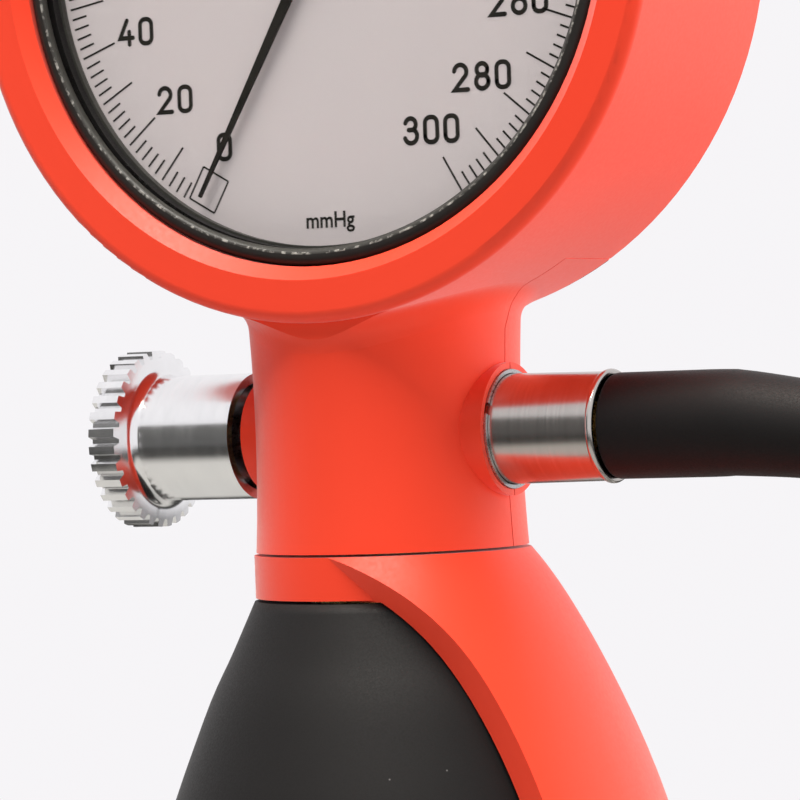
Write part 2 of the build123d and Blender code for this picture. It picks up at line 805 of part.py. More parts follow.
capsule_stem_r = 1.6
socket_front_y = capsule_rim_y + capsule_bulge + 0.1
with BuildPart() as capsule_rear_half:
    with BuildSketch(depth_profile):
        with BuildLine():
            capsule_outline(1)
        make_face()
    revolve(axis=dial_axis)
    with BuildSketch(dial_plane(socket_front_y + 1.6)):
        Circle(capsule_stem_r)
    extrude(amount=1.8)
    with BuildSketch(dial_plane(socket_front_y + 1.6)):
        Circle(0.6)
    extrude(amount=4, mode=Mode.SUBTRACT)

boss_back_y = capsule_rim_y - capsule_bulge
boss_pin_r = 0.6
with BuildPart() as capsule_boss:
    with BuildSketch(dial_plane(boss_back_y)):
        Circle(2.2)
    extrude(amount=0.4)
    with BuildSketch(dial_plane(boss_back_y)):
        Circle(boss_pin_r)
    extrude(amount=boss_back_y - (arm_back_y + 0.15))

# Gauge socket, stem and o-ring
socket_back_y = cup_floor_y
block_front_y = stem_y - stem_r - 0.3
socket_bore = 0.7
bore_y = (socket_front_y + socket_back_y) / 2
with BuildPart() as gauge_socket:
    with BuildSketch(dial_plane(socket_back_y)):
        with Locations((0, (block_bottom + 6) / 2)):
            Rectangle(2 * socket_half, 6 - block_bottom)
    extrude(amount=socket_back_y - socket_front_y)
    with BuildSketch(dial_plane(socket_back_y)):
        with Locations((0, (block_bottom + block_top) / 2)):
            Rectangle(2 * socket_half, block_top - block_bottom)
    extrude(amount=socket_back_y - block_front_y)
    with BuildSketch(level(dial_z + block_bottom)):
        with Locations((0, stem_y)):
            Circle(stem_r + running)
    extrude(amount=6, mode=Mode.SUBTRACT)
    with BuildSketch(level(dial_z + block_bottom)):
        with Locations((0, bore_y - 0.2)):
            Circle(socket_bore)
    extrude(amount=-block_bottom + 1.0, mode=Mode.SUBTRACT)
    with BuildSketch(dial_plane(socket_front_y)):
        Circle(capsule_stem_r + running)
    extrude(amount=-1.7, mode=Mode.SUBTRACT)
    with BuildSketch(dial_plane(socket_back_y)):
        with Locations(socket_screws_at):
            Circle(small_screw_r + running)
    extrude(amount=1.8, mode=Mode.SUBTRACT)

with BuildPart() as socket_screws:
    with BuildSketch(dial_plane(cup_back_y)):
        with Locations(socket_screws_at):
            Circle(small_head_r)
    extrude(amount=socket_head)
    with BuildSketch(dial_plane(cup_back_y)):
        with Locations(socket_screws_at):
            Circle(small_screw_r)
    extrude(amount=cup_back_y - socket_back_y + 1.6)
    with BuildSketch(dial_plane(cup_back_y)):
        with Locations(socket_screws_at):
            Rectangle(4, 0.4)
    extrude(amount=0.4, mode=Mode.SUBTRACT)

stem_spigot = 5.0
ring_wire = 0.38
ring_groove_r = stem_r - 2 * ring_wire
stem_foot = port_height + 3.5
with BuildPart() as gauge_stem:
    with BuildSketch(level(stem_foot)):
        with Locations((0, stem_y)):
            Circle(stem_r)
            Circle(stem_bore, mode=Mode.SUBTRACT)
    extrude(amount=dial_z + block_bottom + stem_spigot - stem_foot)
    with BuildSketch(level(port_height + manifold_top - 1.4)):
        with Locations((0, stem_y)):
            Circle(stem_r + 1)
            Circle(ring_groove_r, mode=Mode.SUBTRACT)
    extrude(amount=0.9, mode=Mode.SUBTRACT)

with BuildPart() as stem_o_ring:
    with BuildSketch(Plane(origin=(0, stem_y, port_height + manifold_top - 0.95), x_dir=(1, 0, 0),
                           z_dir=(0, -1, 0))):
        with Locations((ring_groove_r + ring_wire, 0)):
            Circle(ring_wire)
    revolve(axis=Axis((0, stem_y, port_height), (0, 0, 1)))

# Air manifold in the neck
with BuildPart() as air_manifold:
    with BuildSketch(level(port_height - manifold_bottom)):
        Circle(manifold_r)
    extrude(amount=manifold_bottom + manifold_top)
    with BuildSketch(level(port_height - 2)):
        with Locations((0, stem_y)):
            Circle(stem_r + 1.5)
    extrude(amount=2 + manifold_top)
    with BuildSketch(port_plane(0)):
        Circle(arm_r)
    extrude(amount=arm_reach, both=True)
    with BuildSketch(level(port_height - manifold_bottom)):
        Circle(chamber_r + 0.75)
    extrude(amount=4.2, mode=Mode.SUBTRACT)
    with BuildSketch(level(port_height - 6)):
        Circle(chamber_r)
    extrude(amount=10, mode=Mode.SUBTRACT)
    with BuildSketch(level(port_height)):
        with Locations((0, stem_y)):
            Circle(stem_r - 0.5)
    extrude(amount=manifold_top, mode=Mode.SUBTRACT)
    with BuildSketch(level(stem_foot)):
        with Locations((0, stem_y)):
            Circle(stem_r + running)
    extrude(amount=manifold_top, mode=Mode.SUBTRACT)
    with BuildSketch(neck_view):
        with Locations((0, 1.5)):
            Circle(stem_bore)
    extrude(amount=-stem_y, mode=Mode.SUBTRACT)
    with BuildSketch(port_plane(0)):
        Circle(nipple_bore)
    extrude(amount=arm_reach, both=True, mode=Mode.SUBTRACT)
    with BuildSketch(port_plane(5.0)):
        Circle(bush_r + running)
    extrude(amount=arm_reach, mode=Mode.SUBTRACT)
    with BuildSketch(port_plane(-5.0)):
        Circle(bush_r + running)
    extrude(amount=-arm_reach, mode=Mode.SUBTRACT)

# Release valve
seat_hole_r = 0.8
cone_length = 2.0
bush_inner_x = -5.05
seat_face_x = -6.0
with BuildPart() as valve_bush:
    with BuildSketch(port_profile):
        with BuildLine():
            mouth = spindle_r + running
            Polyline((bush_inner_x, seat_hole_r), (bush_inner_x, bush_r), (-arm_reach, bush_r),
                     (-arm_reach, arm_r - 0.5), (-arm_reach - 0.5, arm_r - 0.5), (-arm_reach - 0.5, mouth),
                     (seat_face_x - cone_length, mouth), (seat_face_x, seat_hole_r), close=True)
        make_face()
    revolve(axis=port_axis)

spindle_tip_r = 0.5
spindle_end_x = -23.5
with BuildPart() as valve_spindle:
    with BuildSketch(port_profile):
        with BuildLine():
            slope = cone_length / (spindle_r + running - seat_hole_r)
            tip_x = seat_face_x - cone_length + (spindle_r + running - spindle_tip_r) * slope - 3 * needle_gap
            cone_x = tip_x - (spindle_r - spindle_tip_r) * slope
            Polyline((tip_x, 0), (tip_x, spindle_tip_r), (cone_x, spindle_r), (spindle_end_x, spindle_r),
                     (spindle_end_x, 0), close=True)
        make_face()
    revolve(axis=port_axis)

with BuildPart() as valve_knob:
    with BuildSketch(port_profile):
        with BuildLine():
            Polyline((knob_skirt_x, knob_barrel_r - knob_skirt_wall), (knob_skirt_x, knob_barrel_r),
                     (knob_back_x + 1.0, knob_barrel_r))
            ThreePointArc((knob_back_x + 1.0, knob_barrel_r),
                          (knob_back_x + 0.3, knob_barrel_r + 0.3), (knob_back_x, knob_barrel_r + 1.0))
            Polyline((knob_back_x, knob_barrel_r + 1.0), (knob_back_x, knob_flange_r),
                     (knob_front_x, knob_flange_r), (knob_front_x, knob_dish_r))
            ThreePointArc((knob_front_x, knob_dish_r),
                          (knob_front_x + dish(knob_dish_r, knob_dish), knob_dish_r / 2),
                          (knob_front_x + knob_dish, 0))
            Polyline((knob_front_x + knob_dish, 0), (spindle_end_x - running, 0),
                     (spindle_end_x - running, spindle_r + running), (knob_skirt_x - 4.5, spindle_r + running),
                     (knob_skirt_x - 4.5, spindle_r + 1.2), (knob_skirt_x - 8.0, spindle_r + 1.2),
                     (knob_skirt_x - 8.0, knob_barrel_r - knob_skirt_wall),
                     (knob_skirt_x, knob_barrel_r - knob_skirt_wall))
        make_face()
    revolve(axis=port_axis)
    tooth_floor = knob_flange_r - knob_tooth_depth
    with BuildSketch(port_plane(knob_front_x - 1)):
        with PolarLocations(0, knob_teeth):
            Polygon((tooth_floor, -0.2), (knob_flange_r + 1, -0.85), (knob_flange_r + 1, 0.85),
                    (tooth_floor, 0.2), align=None)
    extrude(amount=knob_back_x - knob_front_x + 1, mode=Mode.SUBTRACT)

# Hose connector
with BuildPart() as hose_nipple:
    with BuildSketch(port_profile):
        with BuildLine():
            outline = [(5.05, nipple_bore), (5.05, bush_r), (arm_reach, bush_r), (arm_reach, arm_r - 0.4),
                       (arm_reach + 0.9, arm_r - 0.4), (arm_reach + 0.9, nipple_r)]
            barb_step = 4.2
            for i in range(4):
                x = 18.0 + i * barb_step
                outline += [(x, nipple_r), (x, barb_r), (x + barb_step - 0.6, nipple_r)]
            outline += [(nipple_end, nipple_r - 0.1), (nipple_end, nipple_bore)]
            Polyline(*outline, close=True)
        make_face()
    revolve(axis=port_axis)

rim = 0.7
with BuildPart() as ferrule:
    with BuildSketch(port_profile):
        with BuildLine():
            Polyline((ferrule_start, ferrule_r - ferrule_wall), (ferrule_start, ferrule_r),
                     (ferrule_end - rim, ferrule_r - 0.12))
            ThreePointArc((ferrule_end - rim, ferrule_r - 0.12), (ferrule_end - rim / 2, ferrule_r + 0.12),
                          (ferrule_end, ferrule_r - 0.1))
            Polyline((ferrule_end, ferrule_r - 0.1), (ferrule_end, ferrule_r - ferrule_wall),
                     (ferrule_start, ferrule_r - ferrule_wall))
        make_face()
    revolve(axis=port_axis)

with BuildPart() as snap_ring:
    with BuildSketch(port_plane(hose_boss_reach - snap_sunk)):
        Circle(snap_r)
        Circle(ferrule_r + running, mode=Mode.SUBTRACT)
        with PolarLocations(ferrule_r, 1, start_angle=snap_gap_angle):
            Rectangle(2, snap_gap, mode=Mode.SUBTRACT)
    extrude(amount=snap_thick)

grip_r = ferrule_r - ferrule_wall - seat / 2
with BuildPart() as hose_end:
    with BuildSketch(port_profile):
        with BuildLine():
            Polyline((14.0, barb_r + running), (14.0, grip_r), (ferrule_end + 0.1, grip_r),
                     (ferrule_end + 0.4, hose_over_barb_r), (hose_end_x, hose_over_barb_r - 0.15),
                     (hose_end_x, barb_r + running), close=True)
        make_face()
    revolve(axis=port_axis)

# Free hose: the hand-chosen route down to the table, beside the coil
hose_points = [
    (hose_end_x, 0, port_height),
    (42.5, 0, 105.63),
    (52.5, 0, 103.8),
    (71.0, 0.5, 97.3),
    (90.4, 2.6, 82.8),
    (104.0, 7.1, 61.1),
    (109.0, 17.3, 37.5),
    (107.8, 34.0, 18.6),
    (105.6, 51.4, 8.3),
    (101.3, 66.4, 4.4),
    (94.4, 80.4, 4.4),
]
hose_r = hose_d / 2
coil_pitch = hose_d + 0.6
coil_r = 52.0
landing = Vector(*hose_points[-1])
run_in = (landing - Vector(*hose_points[-2])).normalized()
coil_heading = Vector(run_in.X, run_in.Y, 0).normalized()


def corner_radii(points):
    """Radius of each corner's arc: 0.45 of the shorter run over the tangent of half the turn."""
    radii = []
    for before, here, after in zip(points, points[1:], points[2:]):
        run_a = Vector(*here) - Vector(*before)
        run_b = Vector(*after) - Vector(*here)
        half_turn = radians(run_a.get_angle(run_b)) / 2
        radii.append(0.45 * min(run_a.length, run_b.length) / tan(half_turn))
    return radii


hose_radii = corner_radii(hose_points)
print("hose corner radii:", [round(r, 1) for r in hose_radii])

with BuildPart() as hose_drop:
    with BuildLine() as drop_path:
        FilletPolyline(*hose_points, radius=hose_radii)
    with BuildSketch(Plane(origin=hose_points[0], x_dir=(0, 1, 0), z_dir=(1, 0, 0))):
        Circle(hose_r)
        Circle(hose_bore_r, mode=Mode.SUBTRACT)
    sweep(path=drop_path.wires()[0])

drop_length = drop_path.wires()[0].length
print("hose drop length", round(drop_length, 1), "volume ratio",
      round(hose_drop.part.volume / (drop_length * pi * (hose_r ** 2 - hose_bore_r ** 2)), 4))

# Put-away coil: half circles that shrink inward, and a last, tighter bend before the connector
coil_z = hose_r
coil_start = Vector(landing.X, landing.Y, coil_z)
coil_turns = [(coil_r, 180), (coil_r - coil_pitch / 2, 180), (coil_r - coil_pitch, 95), (37.0, 70)]


def coil_arcs():
    """Arc ends and middles of the coil, each arc tangent to the one before it."""
    place, heading = coil_start, coil_heading
    arcs = []
    for radius, turn in coil_turns:
        left = Vector(-heading.Y, heading.X, 0)
        centre = place + left * radius
        spoke = place - centre
        ends = [centre + spoke.rotate(Axis.Z, part * turn) for part in (0.5, 1.0)]
        arcs.append((place, ends[0], ends[1], centre, radius, turn))
        heading = heading.rotate(Axis.Z, turn)
        place = ends[1]
    return arcs, place, heading


coil_list, coil_finish, finish_heading = coil_arcs()
tail_end = coil_finish + finish_heading * hose_d
with BuildPart() as hose_coil:
    with BuildLine() as coil_path:
        for start_point, middle, end_point, centre, radius, turn in coil_list:
            ThreePointArc(start_point, middle, end_point)
        Line(coil_finish, tail_end)
    with BuildSketch(Plane(origin=coil_start, x_dir=(0, 0, 1), z_dir=coil_heading)):
        Circle(hose_r)
        Circle(hose_bore_r, mode=Mode.SUBTRACT)
    sweep(path=coil_path.wires()[0])

coil_length = coil_path.wires()[0].length


def least_coil_gap():
    """Least gap between passes of the coil, measured on points along its line."""
    samples = []
    travelled = 0.0
    for start_point, middle, end_point, centre, radius, turn in coil_list:
        steps = 60
        for i in range(steps):
            point = centre + (start_point - centre).rotate(Axis.Z, turn * i / steps)
            samples.append((travelled + radians(turn) * radius * i / steps, point))
        travelled += radians(turn) * radius
    gaps = [(a - b).length for s, a in samples for t, b in samples if t - s > 4 * hose_d]
    return min(gaps) - hose_d


print("valve travel", round(valve_pitch * valve_turns, 2))
print("coil length", round(coil_length, 1), "least gap", round(least_coil_gap(), 2),
      "free hose", round(drop_length + coil_length, 1))

# Connector for the cuff at the hose's far end
tip_r = 2.0
tip_length = 9.0
body_r = 4.2
body_length = 10.0
with BuildPart() as cuff_connector:
    with BuildSketch(Plane(origin=tail_end, x_dir=finish_heading, z_dir=(0, 0, 1))):
        with BuildLine():
            start_x = 1.0 - hose_d
            Polyline((start_x, 0.9), (start_x, hose_bore_r - running), (0, hose_bore_r - running), (0, body_r),
                     (2.2, body_r), (2.8, body_r - 0.6), (body_length - 1.5, body_r - 0.6),
                     (body_length, body_r - 1.2), (body_length, tip_r), (body_length + tip_length - 0.4, tip_r),
                     (body_length + tip_length, tip_r - 0.4), (body_length + tip_length, 0.9), close=True)
        make_face()
    revolve(axis=Axis(tail_end, finish_heading))

# Bulb and its valves
belly_low = (foot_r + 5.6, foot_recess + 5.0)
bulb_line = [(collar_r + 0.1, bulb_top), (collar_r + 2.3, 0.948 * bulb_top), (collar_r + 5.4, 0.876 * bulb_top),
             (bulb_r - 1.7, 0.73 * bulb_top), (bulb_r, 0.58 * bulb_top), (bulb_r - 0.9, 0.436 * bulb_top),
             (bulb_r - 3.1, 0.303 * bulb_top), (bulb_r - 6.2, 0.181 * bulb_top), belly_low]


def moved_out(points, distance):
    """Points of an outline that runs down, each moved square to it, outward for a plus distance."""
    moved = []
    for i, (x, z) in enumerate(points):
        before, after = points[max(i - 1, 0)], points[min(i + 1, len(points) - 1)]
        dx, dz = after[0] - before[0], after[1] - before[1]
        run = hypot(dx, dz)
        moved.append((x - dz / run * distance, z + dx / run * distance))
    return moved


bulb_floor_z = foot_recess + bulb_floor
inner_top = bulb_top - bulb_floor
bulb_inside = moved_out(bulb_line, -bulb_wall)[1:]
with BuildPart() as bulb:
    with BuildSketch(Plane.XZ):
        with BuildLine():
            Spline(*bulb_line)
            ThreePointArc(belly_low, (foot_r + 3.8, 1.9), (foot_r, 0))
            Polyline((foot_r, 0), (foot_recess_r, 0), (foot_recess_r, foot_recess), (0, foot_recess),
                     (0, bulb_top), bulb_line[0])
        make_face()
    revolve(axis=Axis.Z)
    with BuildSketch(Plane.XZ):
        with BuildLine():
            Spline(*bulb_inside)
            Polyline(bulb_inside[-1], (6.5, bulb_floor_z), (0, bulb_floor_z), (0, inner_top),
                     (bulb_inside[0][0], inner_top), bulb_inside[0])
        make_face()
    revolve(axis=Axis.Z, mode=Mode.SUBTRACT)
    with BuildSketch(level(inner_top - 1)):
        Circle(bulb_mouth_r + seat)
    extrude(amount=bulb_floor + 1, mode=Mode.SUBTRACT)
    inlet_r = 4.0
    with BuildSketch(level(0)):
        Circle(inlet_r + seat)
    extrude(amount=20, mode=Mode.SUBTRACT)

# Bulb fitting, held in the manifold's thread, with the outlet valve inside
fitting_top = port_height - 5.4
fitting_shoulder = port_height - manifold_bottom
flange_top = inner_top - seat
chamber_top = fitting_shoulder - 0.9
disc_r = 3.4
disc_thick = 0.8
disc_lift = 0.7
seat_plug_top = chamber_top - disc_lift - seat - disc_thick - running
seat_plug_thick = 2.0
valve_room_r = 4.2
with BuildPart() as bulb_fitting:
    with BuildSketch(Plane.XZ):
        with BuildLine():
            Polyline((2.2, fitting_top), (chamber_r + 0.75 - running, fitting_top),
                     (chamber_r + 0.75 - running, fitting_shoulder), (bulb_mouth_r, fitting_shoulder),
                     (bulb_mouth_r, flange_top), (bulb_mouth_r + 1.6, flange_top),
                     (bulb_mouth_r + 0.4, flange_top - 2.5), (valve_room_r, flange_top - 2.5),
                     (valve_room_r, chamber_top), (2.2, chamber_top), close=True)
        make_face()
    revolve(axis=Axis.Z)
    with BuildSketch(level(chamber_top)):
        Rectangle(2 * valve_room_r - 0.4, 1.2)
        Rectangle(1.2, 2 * valve_room_r - 0.4)
    extrude(amount=0.5, mode=Mode.SUBTRACT)

with BuildPart() as outlet_valve_seat:
    with BuildSketch(level(seat_plug_top - seat_plug_thick)):
        Circle(valve_room_r - running)
        Circle(1.8, mode=Mode.SUBTRACT)
    extrude(amount=seat_plug_thick)

with BuildPart() as outlet_valve_disc:
    with BuildSketch(level(seat_plug_top + running)):
        Circle(disc_r)
    extrude(amount=disc_thick)

# Inlet valve in the bulb's foot
inlet_flange_r = 6.4
inlet_flange = 1.4
inlet_top = bulb_floor_z + 1.6
ball_r = 2.0
ball_lift = 0.8
ball_room_r = 2.6
cone_r = 1.4
ball_rest_z = foot_recess + 3.4
with BuildPart() as inlet_valve_body:
    with BuildSketch(Plane.XZ):
        with BuildLine():
            cone_z = ball_rest_z - sqrt((ball_r + 0.02) ** 2 - cone_r ** 2)
            Polyline((cone_r, foot_recess - inlet_flange), (inlet_flange_r, foot_recess - inlet_flange),
                     (inlet_flange_r, foot_recess), (inlet_r, foot_recess), (inlet_r, inlet_top),
                     (ball_room_r, inlet_top), (ball_room_r, cone_z), (cone_r, cone_z), close=True)
        make_face()
    revolve(axis=Axis.Z)
    with BuildSketch(level(foot_recess - inlet_flange)):
        Circle(3.2)
    extrude(amount=0.6, mode=Mode.SUBTRACT)

with BuildPart() as inlet_valve_ball:
    with BuildSketch(Plane.XZ):
        with BuildLine():
            ThreePointArc((0, ball_rest_z - ball_r), (ball_r, ball_rest_z), (0, ball_rest_z + ball_r))
            Line((0, ball_rest_z + ball_r), (0, ball_rest_z - ball_r))
        make_face()
    revolve(axis=Axis.Z)

cap_under = ball_rest_z + ball_r + ball_lift + seat
cap_r = inlet_r + 1.4
with BuildPart() as inlet_valve_cap:
    with BuildSketch(level(bulb_floor_z)):
        Circle(cap_r)
        Circle(inlet_r + running, mode=Mode.SUBTRACT)
    extrude(amount=cap_under - bulb_floor_z)
    with BuildSketch(level(cap_under)):
        Circle(cap_r)
        with PolarLocations(2.6, 6):
            Circle(0.7, mode=Mode.SUBTRACT)
    extrude(amount=0.8)

with BuildPart() as inlet_dust_filter:
    with BuildSketch(level(foot_recess - inlet_flange)):
        Circle(3.2 - running)
        with GridLocations(0.9, 0.9, 5, 5):
            Circle(0.28, mode=Mode.SUBTRACT)
    extrude(amount=0.5)

# Spoon: a collar under the neck and a strap that follows the bulb on the hose's side
strap_out = spoon_gap + spoon_thick
strap_slant = Vector(1, -0.318, 0.2)     # the strap's side faces run this way
strap_reach = 40.0
strap_side_top = port_height - 10.0
strap_side_line = [(-13.4, strap_side_top), (-12.4, strap_side_top - 3.0), (-10.9, strap_side_top - 6.0),
                   (-8.2, strap_side_top - 11.9), (-6.5, strap_side_top - 18.5), (-4.6, 0.585 * port_height),
                   (-4.0, 0.434 * port_height), (-4.6, 0.226 * port_height), (-5.4, -12.0)]
with BuildPart() as strap_side_cut:
    with BuildSketch(side_view):
        with BuildLine():
            Spline(*strap_side_line)
            Polyline(strap_side_line[-1], (-60, -12), (-60, strap_side_top), strap_side_line[0])
        make_face()
    extrude(amount=strap_reach * strap_slant.length, dir=strap_slant)
    mirror(about=Plane.XZ)

with BuildPart() as strap_outline:
    with BuildSketch(side_view):
        with Locations((0, (spoon_end_z + collar_top) / 2)):
            Rectangle(60, collar_top - spoon_end_z)
        with Locations((0, spoon_end_z)):
            Circle(spoon_end_r)
    extrude(amount=strap_reach)

strap_outside = [(collar_r, collar_top), (15.5, port_height - 14.4), (17.3, port_height - 17.4)]
strap_outside += moved_out(bulb_line, strap_out)[2:]
strap_inside = moved_out(bulb_line, spoon_gap)
with BuildPart() as spoon:
    with BuildSketch(Plane.XZ):
        with BuildLine():
            Spline(*strap_outside)
            Line(strap_outside[-1], strap_inside[-1])
            Spline(*strap_inside)
            Polyline(strap_inside[0], (collar_r - 1, strap_inside[0][1]), (collar_r - 1, collar_top),
                     (collar_r, collar_top))
        make_face()
    revolve(axis=Axis.Z)
    add(strap_outline.part, mode=Mode.INTERSECT)
    add(strap_side_cut.part, mode=Mode.SUBTRACT)
    with BuildSketch(level(bulb_top + spoon_gap)):
        Circle(collar_r)
    extrude(amount=collar_top - bulb_top - spoon_gap)
    with BuildSketch(level(bulb_top)):
        Circle(bulb_mouth_r + 2 * running)
    extrude(amount=collar_top - bulb_top + 1, mode=Mode.SUBTRACT)

pieces = {
    "front_case_shell": front_case_shell,
    "rear_neck_cover": rear_neck_cover,
    "rear_case_cover": rear_case_cover,
    "rear_cover_screws": rear_cover_screws,
    "neck_cover_screws": neck_cover_screws,
    "gauge_cup": gauge_cup,
    "bezel_ring": bezel_ring,
    "crystal": crystal,
    "crystal_gasket": crystal_gasket,
    "dial_retaining_ring": dial_retaining_ring,
    "dial_plate": dial_plate,
    "pointer": pointer_at_rest,
    "pointer_bush": pointer_bush,
    "movement_base_plate": movement_base_plate,
    "base_plate_screws": base_plate_screws,
    "movement_top_plate": movement_top_plate,
    "movement_pillars": movement_pillars,
    "movement_screws": movement_screws,
    "rocking_shaft": rocking_shaft,
    "sector_gear": sector_gear,
    "sector_arbor": sector_arbor,
    "pinion_arbor": pinion_at_rest,
    "hairspring": hairspring,
    "hairspring_collet": hairspring_collet,
    "hairspring_stud": hairspring_stud,
    "capsule_boss": capsule_boss,
    "capsule_front_half": capsule_front_half,
    "capsule_rear_half": capsule_rear_half,
    "gauge_socket": gauge_socket,
    "socket_screws": socket_screws,
    "gauge_stem": gauge_stem,
    "stem_o_ring": stem_o_ring,
    "air_manifold": air_manifold,
    "valve_bush": valve_bush,
    "valve_spindle": valve_spindle,
    "valve_knob": valve_knob,
    "hose_nipple": hose_nipple,
    "snap_ring": snap_ring,
    "ferrule": ferrule,
    "hose_end": hose_end,
    "hose_drop": hose_drop,
    "hose_coil": hose_coil,
    "cuff_connector": cuff_connector,
    "bulb_fitting": bulb_fitting,
    "outlet_valve_seat": outlet_valve_seat,
    "outlet_valve_disc": outlet_valve_disc,
    "spoon": spoon,
    "bulb": bulb,
    "inlet_valve_body": inlet_valve_body,
    "inlet_valve_ball": inlet_valve_ball,
    "inlet_valve_cap": inlet_valve_cap,
    "inlet_dust_filter": inlet_dust_filter,
}
for name, piece in pieces.items():
    save(piece, name)
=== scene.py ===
import json
import math

import bmesh
import bpy
from mathutils import Matrix, Vector


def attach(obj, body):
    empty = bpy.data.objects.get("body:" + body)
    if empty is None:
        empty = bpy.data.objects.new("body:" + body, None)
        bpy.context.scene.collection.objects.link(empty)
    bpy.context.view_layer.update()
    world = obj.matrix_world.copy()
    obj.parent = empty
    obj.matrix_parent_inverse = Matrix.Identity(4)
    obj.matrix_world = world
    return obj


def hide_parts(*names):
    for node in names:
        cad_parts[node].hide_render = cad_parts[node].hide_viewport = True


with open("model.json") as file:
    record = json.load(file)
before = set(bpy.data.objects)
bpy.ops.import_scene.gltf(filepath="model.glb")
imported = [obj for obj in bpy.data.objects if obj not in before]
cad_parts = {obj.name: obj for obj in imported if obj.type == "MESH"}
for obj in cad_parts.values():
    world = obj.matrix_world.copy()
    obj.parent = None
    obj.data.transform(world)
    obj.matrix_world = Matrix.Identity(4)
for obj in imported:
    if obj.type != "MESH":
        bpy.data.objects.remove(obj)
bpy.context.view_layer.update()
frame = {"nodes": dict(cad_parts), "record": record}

MM = 0.001
NODES = frame["nodes"]
RECORD = frame["record"]
SCENE = bpy.context.scene

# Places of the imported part, in millimetres, as its source has them
PORT_Z = 106.0
DIAL_Z = 152.6
DIAL_FACE_Y = -9.7
SCALE_DEGREES = 300
FIRST_MARK_DEGREES = 210


# Camera, solved from the photograph
LENS_MM, SENSOR_MM, CLIP_START = 194.67, 36.0, 0.02
CAMERA_AT = (0.20327, -0.35832, 0.11169)
AZIMUTH, DROP, ROLL = 29.40, 0.37, 2.07


def look(azimuth, drop, roll):
    """The camera's turn, from angles in radians."""
    forward = Vector((-math.sin(azimuth) * math.cos(drop), math.cos(azimuth) * math.cos(drop), -math.sin(drop)))
    level = Vector((math.cos(azimuth), math.sin(azimuth), 0))
    over = level.cross(forward)
    right = math.cos(roll) * level - math.sin(roll) * over
    up = math.sin(roll) * level + math.cos(roll) * over
    return Matrix((right, up, -forward)).transposed().to_4x4()


camera_data = bpy.data.cameras.new("camera")
camera_data.lens = LENS_MM
camera_data.sensor_width = SENSOR_MM
camera_data.clip_start = CLIP_START
camera = bpy.data.objects.new("camera", camera_data)
SCENE.collection.objects.link(camera)
camera.matrix_world = Matrix.Translation(CAMERA_AT) @ look(
    math.radians(AZIMUTH), math.radians(DROP), math.radians(ROLL)
)
SCENE.camera = camera


# Pieces
MERGE_M = 1e-7


def put(name, data, body="case", material=None, smooth=True):
    piece = bpy.data.objects.new(name, data)
    SCENE.collection.objects.link(piece)
    if material is not None:
        data.materials.clear()
        data.materials.append(material)
    if smooth and isinstance(data, bpy.types.Mesh):
        for face in data.polygons:
            face.use_smooth = True
    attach(piece, body)
    return piece


def mesh_of(name, points, faces):
    data = bpy.data.meshes.new(name)
    data.from_pydata([tuple(p) for p in points], [], faces)
    work = bmesh.new()
    work.from_mesh(data)
    bmesh.ops.remove_doubles(work, verts=work.verts, dist=MERGE_M)
    bmesh.ops.recalc_face_normals(work, faces=work.faces)
    work.to_mesh(data)
    work.free()
    return data


def turned(name, outline, centre, axis, steps=96, closed=True):
    """A lathe: outline gives (radius, place along the axis) in millimetres."""
    along = Vector(axis)
    side = along.orthogonal().normalized()
    other = along.cross(side)
    points, faces = [], []
    for i in range(steps):
        turn = 2 * math.pi * i / steps
        out = math.cos(turn) * side + math.sin(turn) * other
        points += [(Vector(centre) + a * along + r * out) * MM for r, a in outline]
    count = len(outline)
    for i in range(steps):
        here, there = i * count, (i + 1) % steps * count
        for k in range(count if closed else count - 1):
            after = (k + 1) % count
            faces.append((here + k, here + after, there + after, there + k))
    return mesh_of(name, points, faces)


def rounded_outline(corners, steps=5):
    """Corners are (radius, place, rounding): each is swapped for a short arc-like curve."""
    line = []
    for i, (r, a, soft) in enumerate(corners):
        here = Vector((r, a))
        before = Vector(corners[i - 1][:2]) - here
        after = Vector(corners[(i + 1) % len(corners)][:2]) - here
        if soft == 0:
            line.append((r, a))
            continue
        start = here + before.normalized() * soft
        end = here + after.normalized() * soft
        for k in range(steps + 1):
            t = k / steps
            spot = (1 - t) ** 2 * start + 2 * t * (1 - t) * here + t * t * end
            line.append((spot.x, spot.y))
    return line


# Materials
def blank(name):
    made = bpy.data.materials.new(name)
    made.use_nodes = True
    tree = made.node_tree
    tree.nodes.clear()
    out = tree.nodes.new("ShaderNodeOutputMaterial")
    shader = tree.nodes.new("ShaderNodeBsdfPrincipled")
    tree.links.new(shader.outputs["BSDF"], out.inputs["Surface"])
    return made, tree, shader


def place(tree, stretch=(1, 1, 1)):
    where = tree.nodes.new("ShaderNodeTexCoord")
    mapping = tree.nodes.new("ShaderNodeMapping")
    mapping.inputs["Scale"].default_value = stretch
    tree.links.new(where.outputs["Object"], mapping.inputs["Vector"])
    return mapping.outputs["Vector"]


def noise(tree, where, scale, detail=3.0):
    node = tree.nodes.new("ShaderNodeTexNoise")
    node.inputs["Scale"].default_value = scale
    node.inputs["Detail"].default_value = detail
    tree.links.new(where, node.inputs["Vector"])
    return node.outputs["Fac"]


def ramp(tree, source, low, high, start=0.0, end=1.0):
    node = tree.nodes.new("ShaderNodeValToRGB")
    first, last = node.color_ramp.elements
    first.position, last.position = start, end
    first.color = (*low, 1)
    last.color = (*high, 1)
    tree.links.new(source, node.inputs["Fac"])
    return node.outputs["Color"]


def grey(value):
    return (value, value, value)


def bump(tree, shader, source, strength, distance):
    node = tree.nodes.new("ShaderNodeBump")
    node.inputs["Strength"].default_value = strength
    node.inputs["Distance"].default_value = distance
    tree.links.new(source, node.inputs["Height"])
    tree.links.new(node.outputs["Normal"], shader.inputs["Normal"])


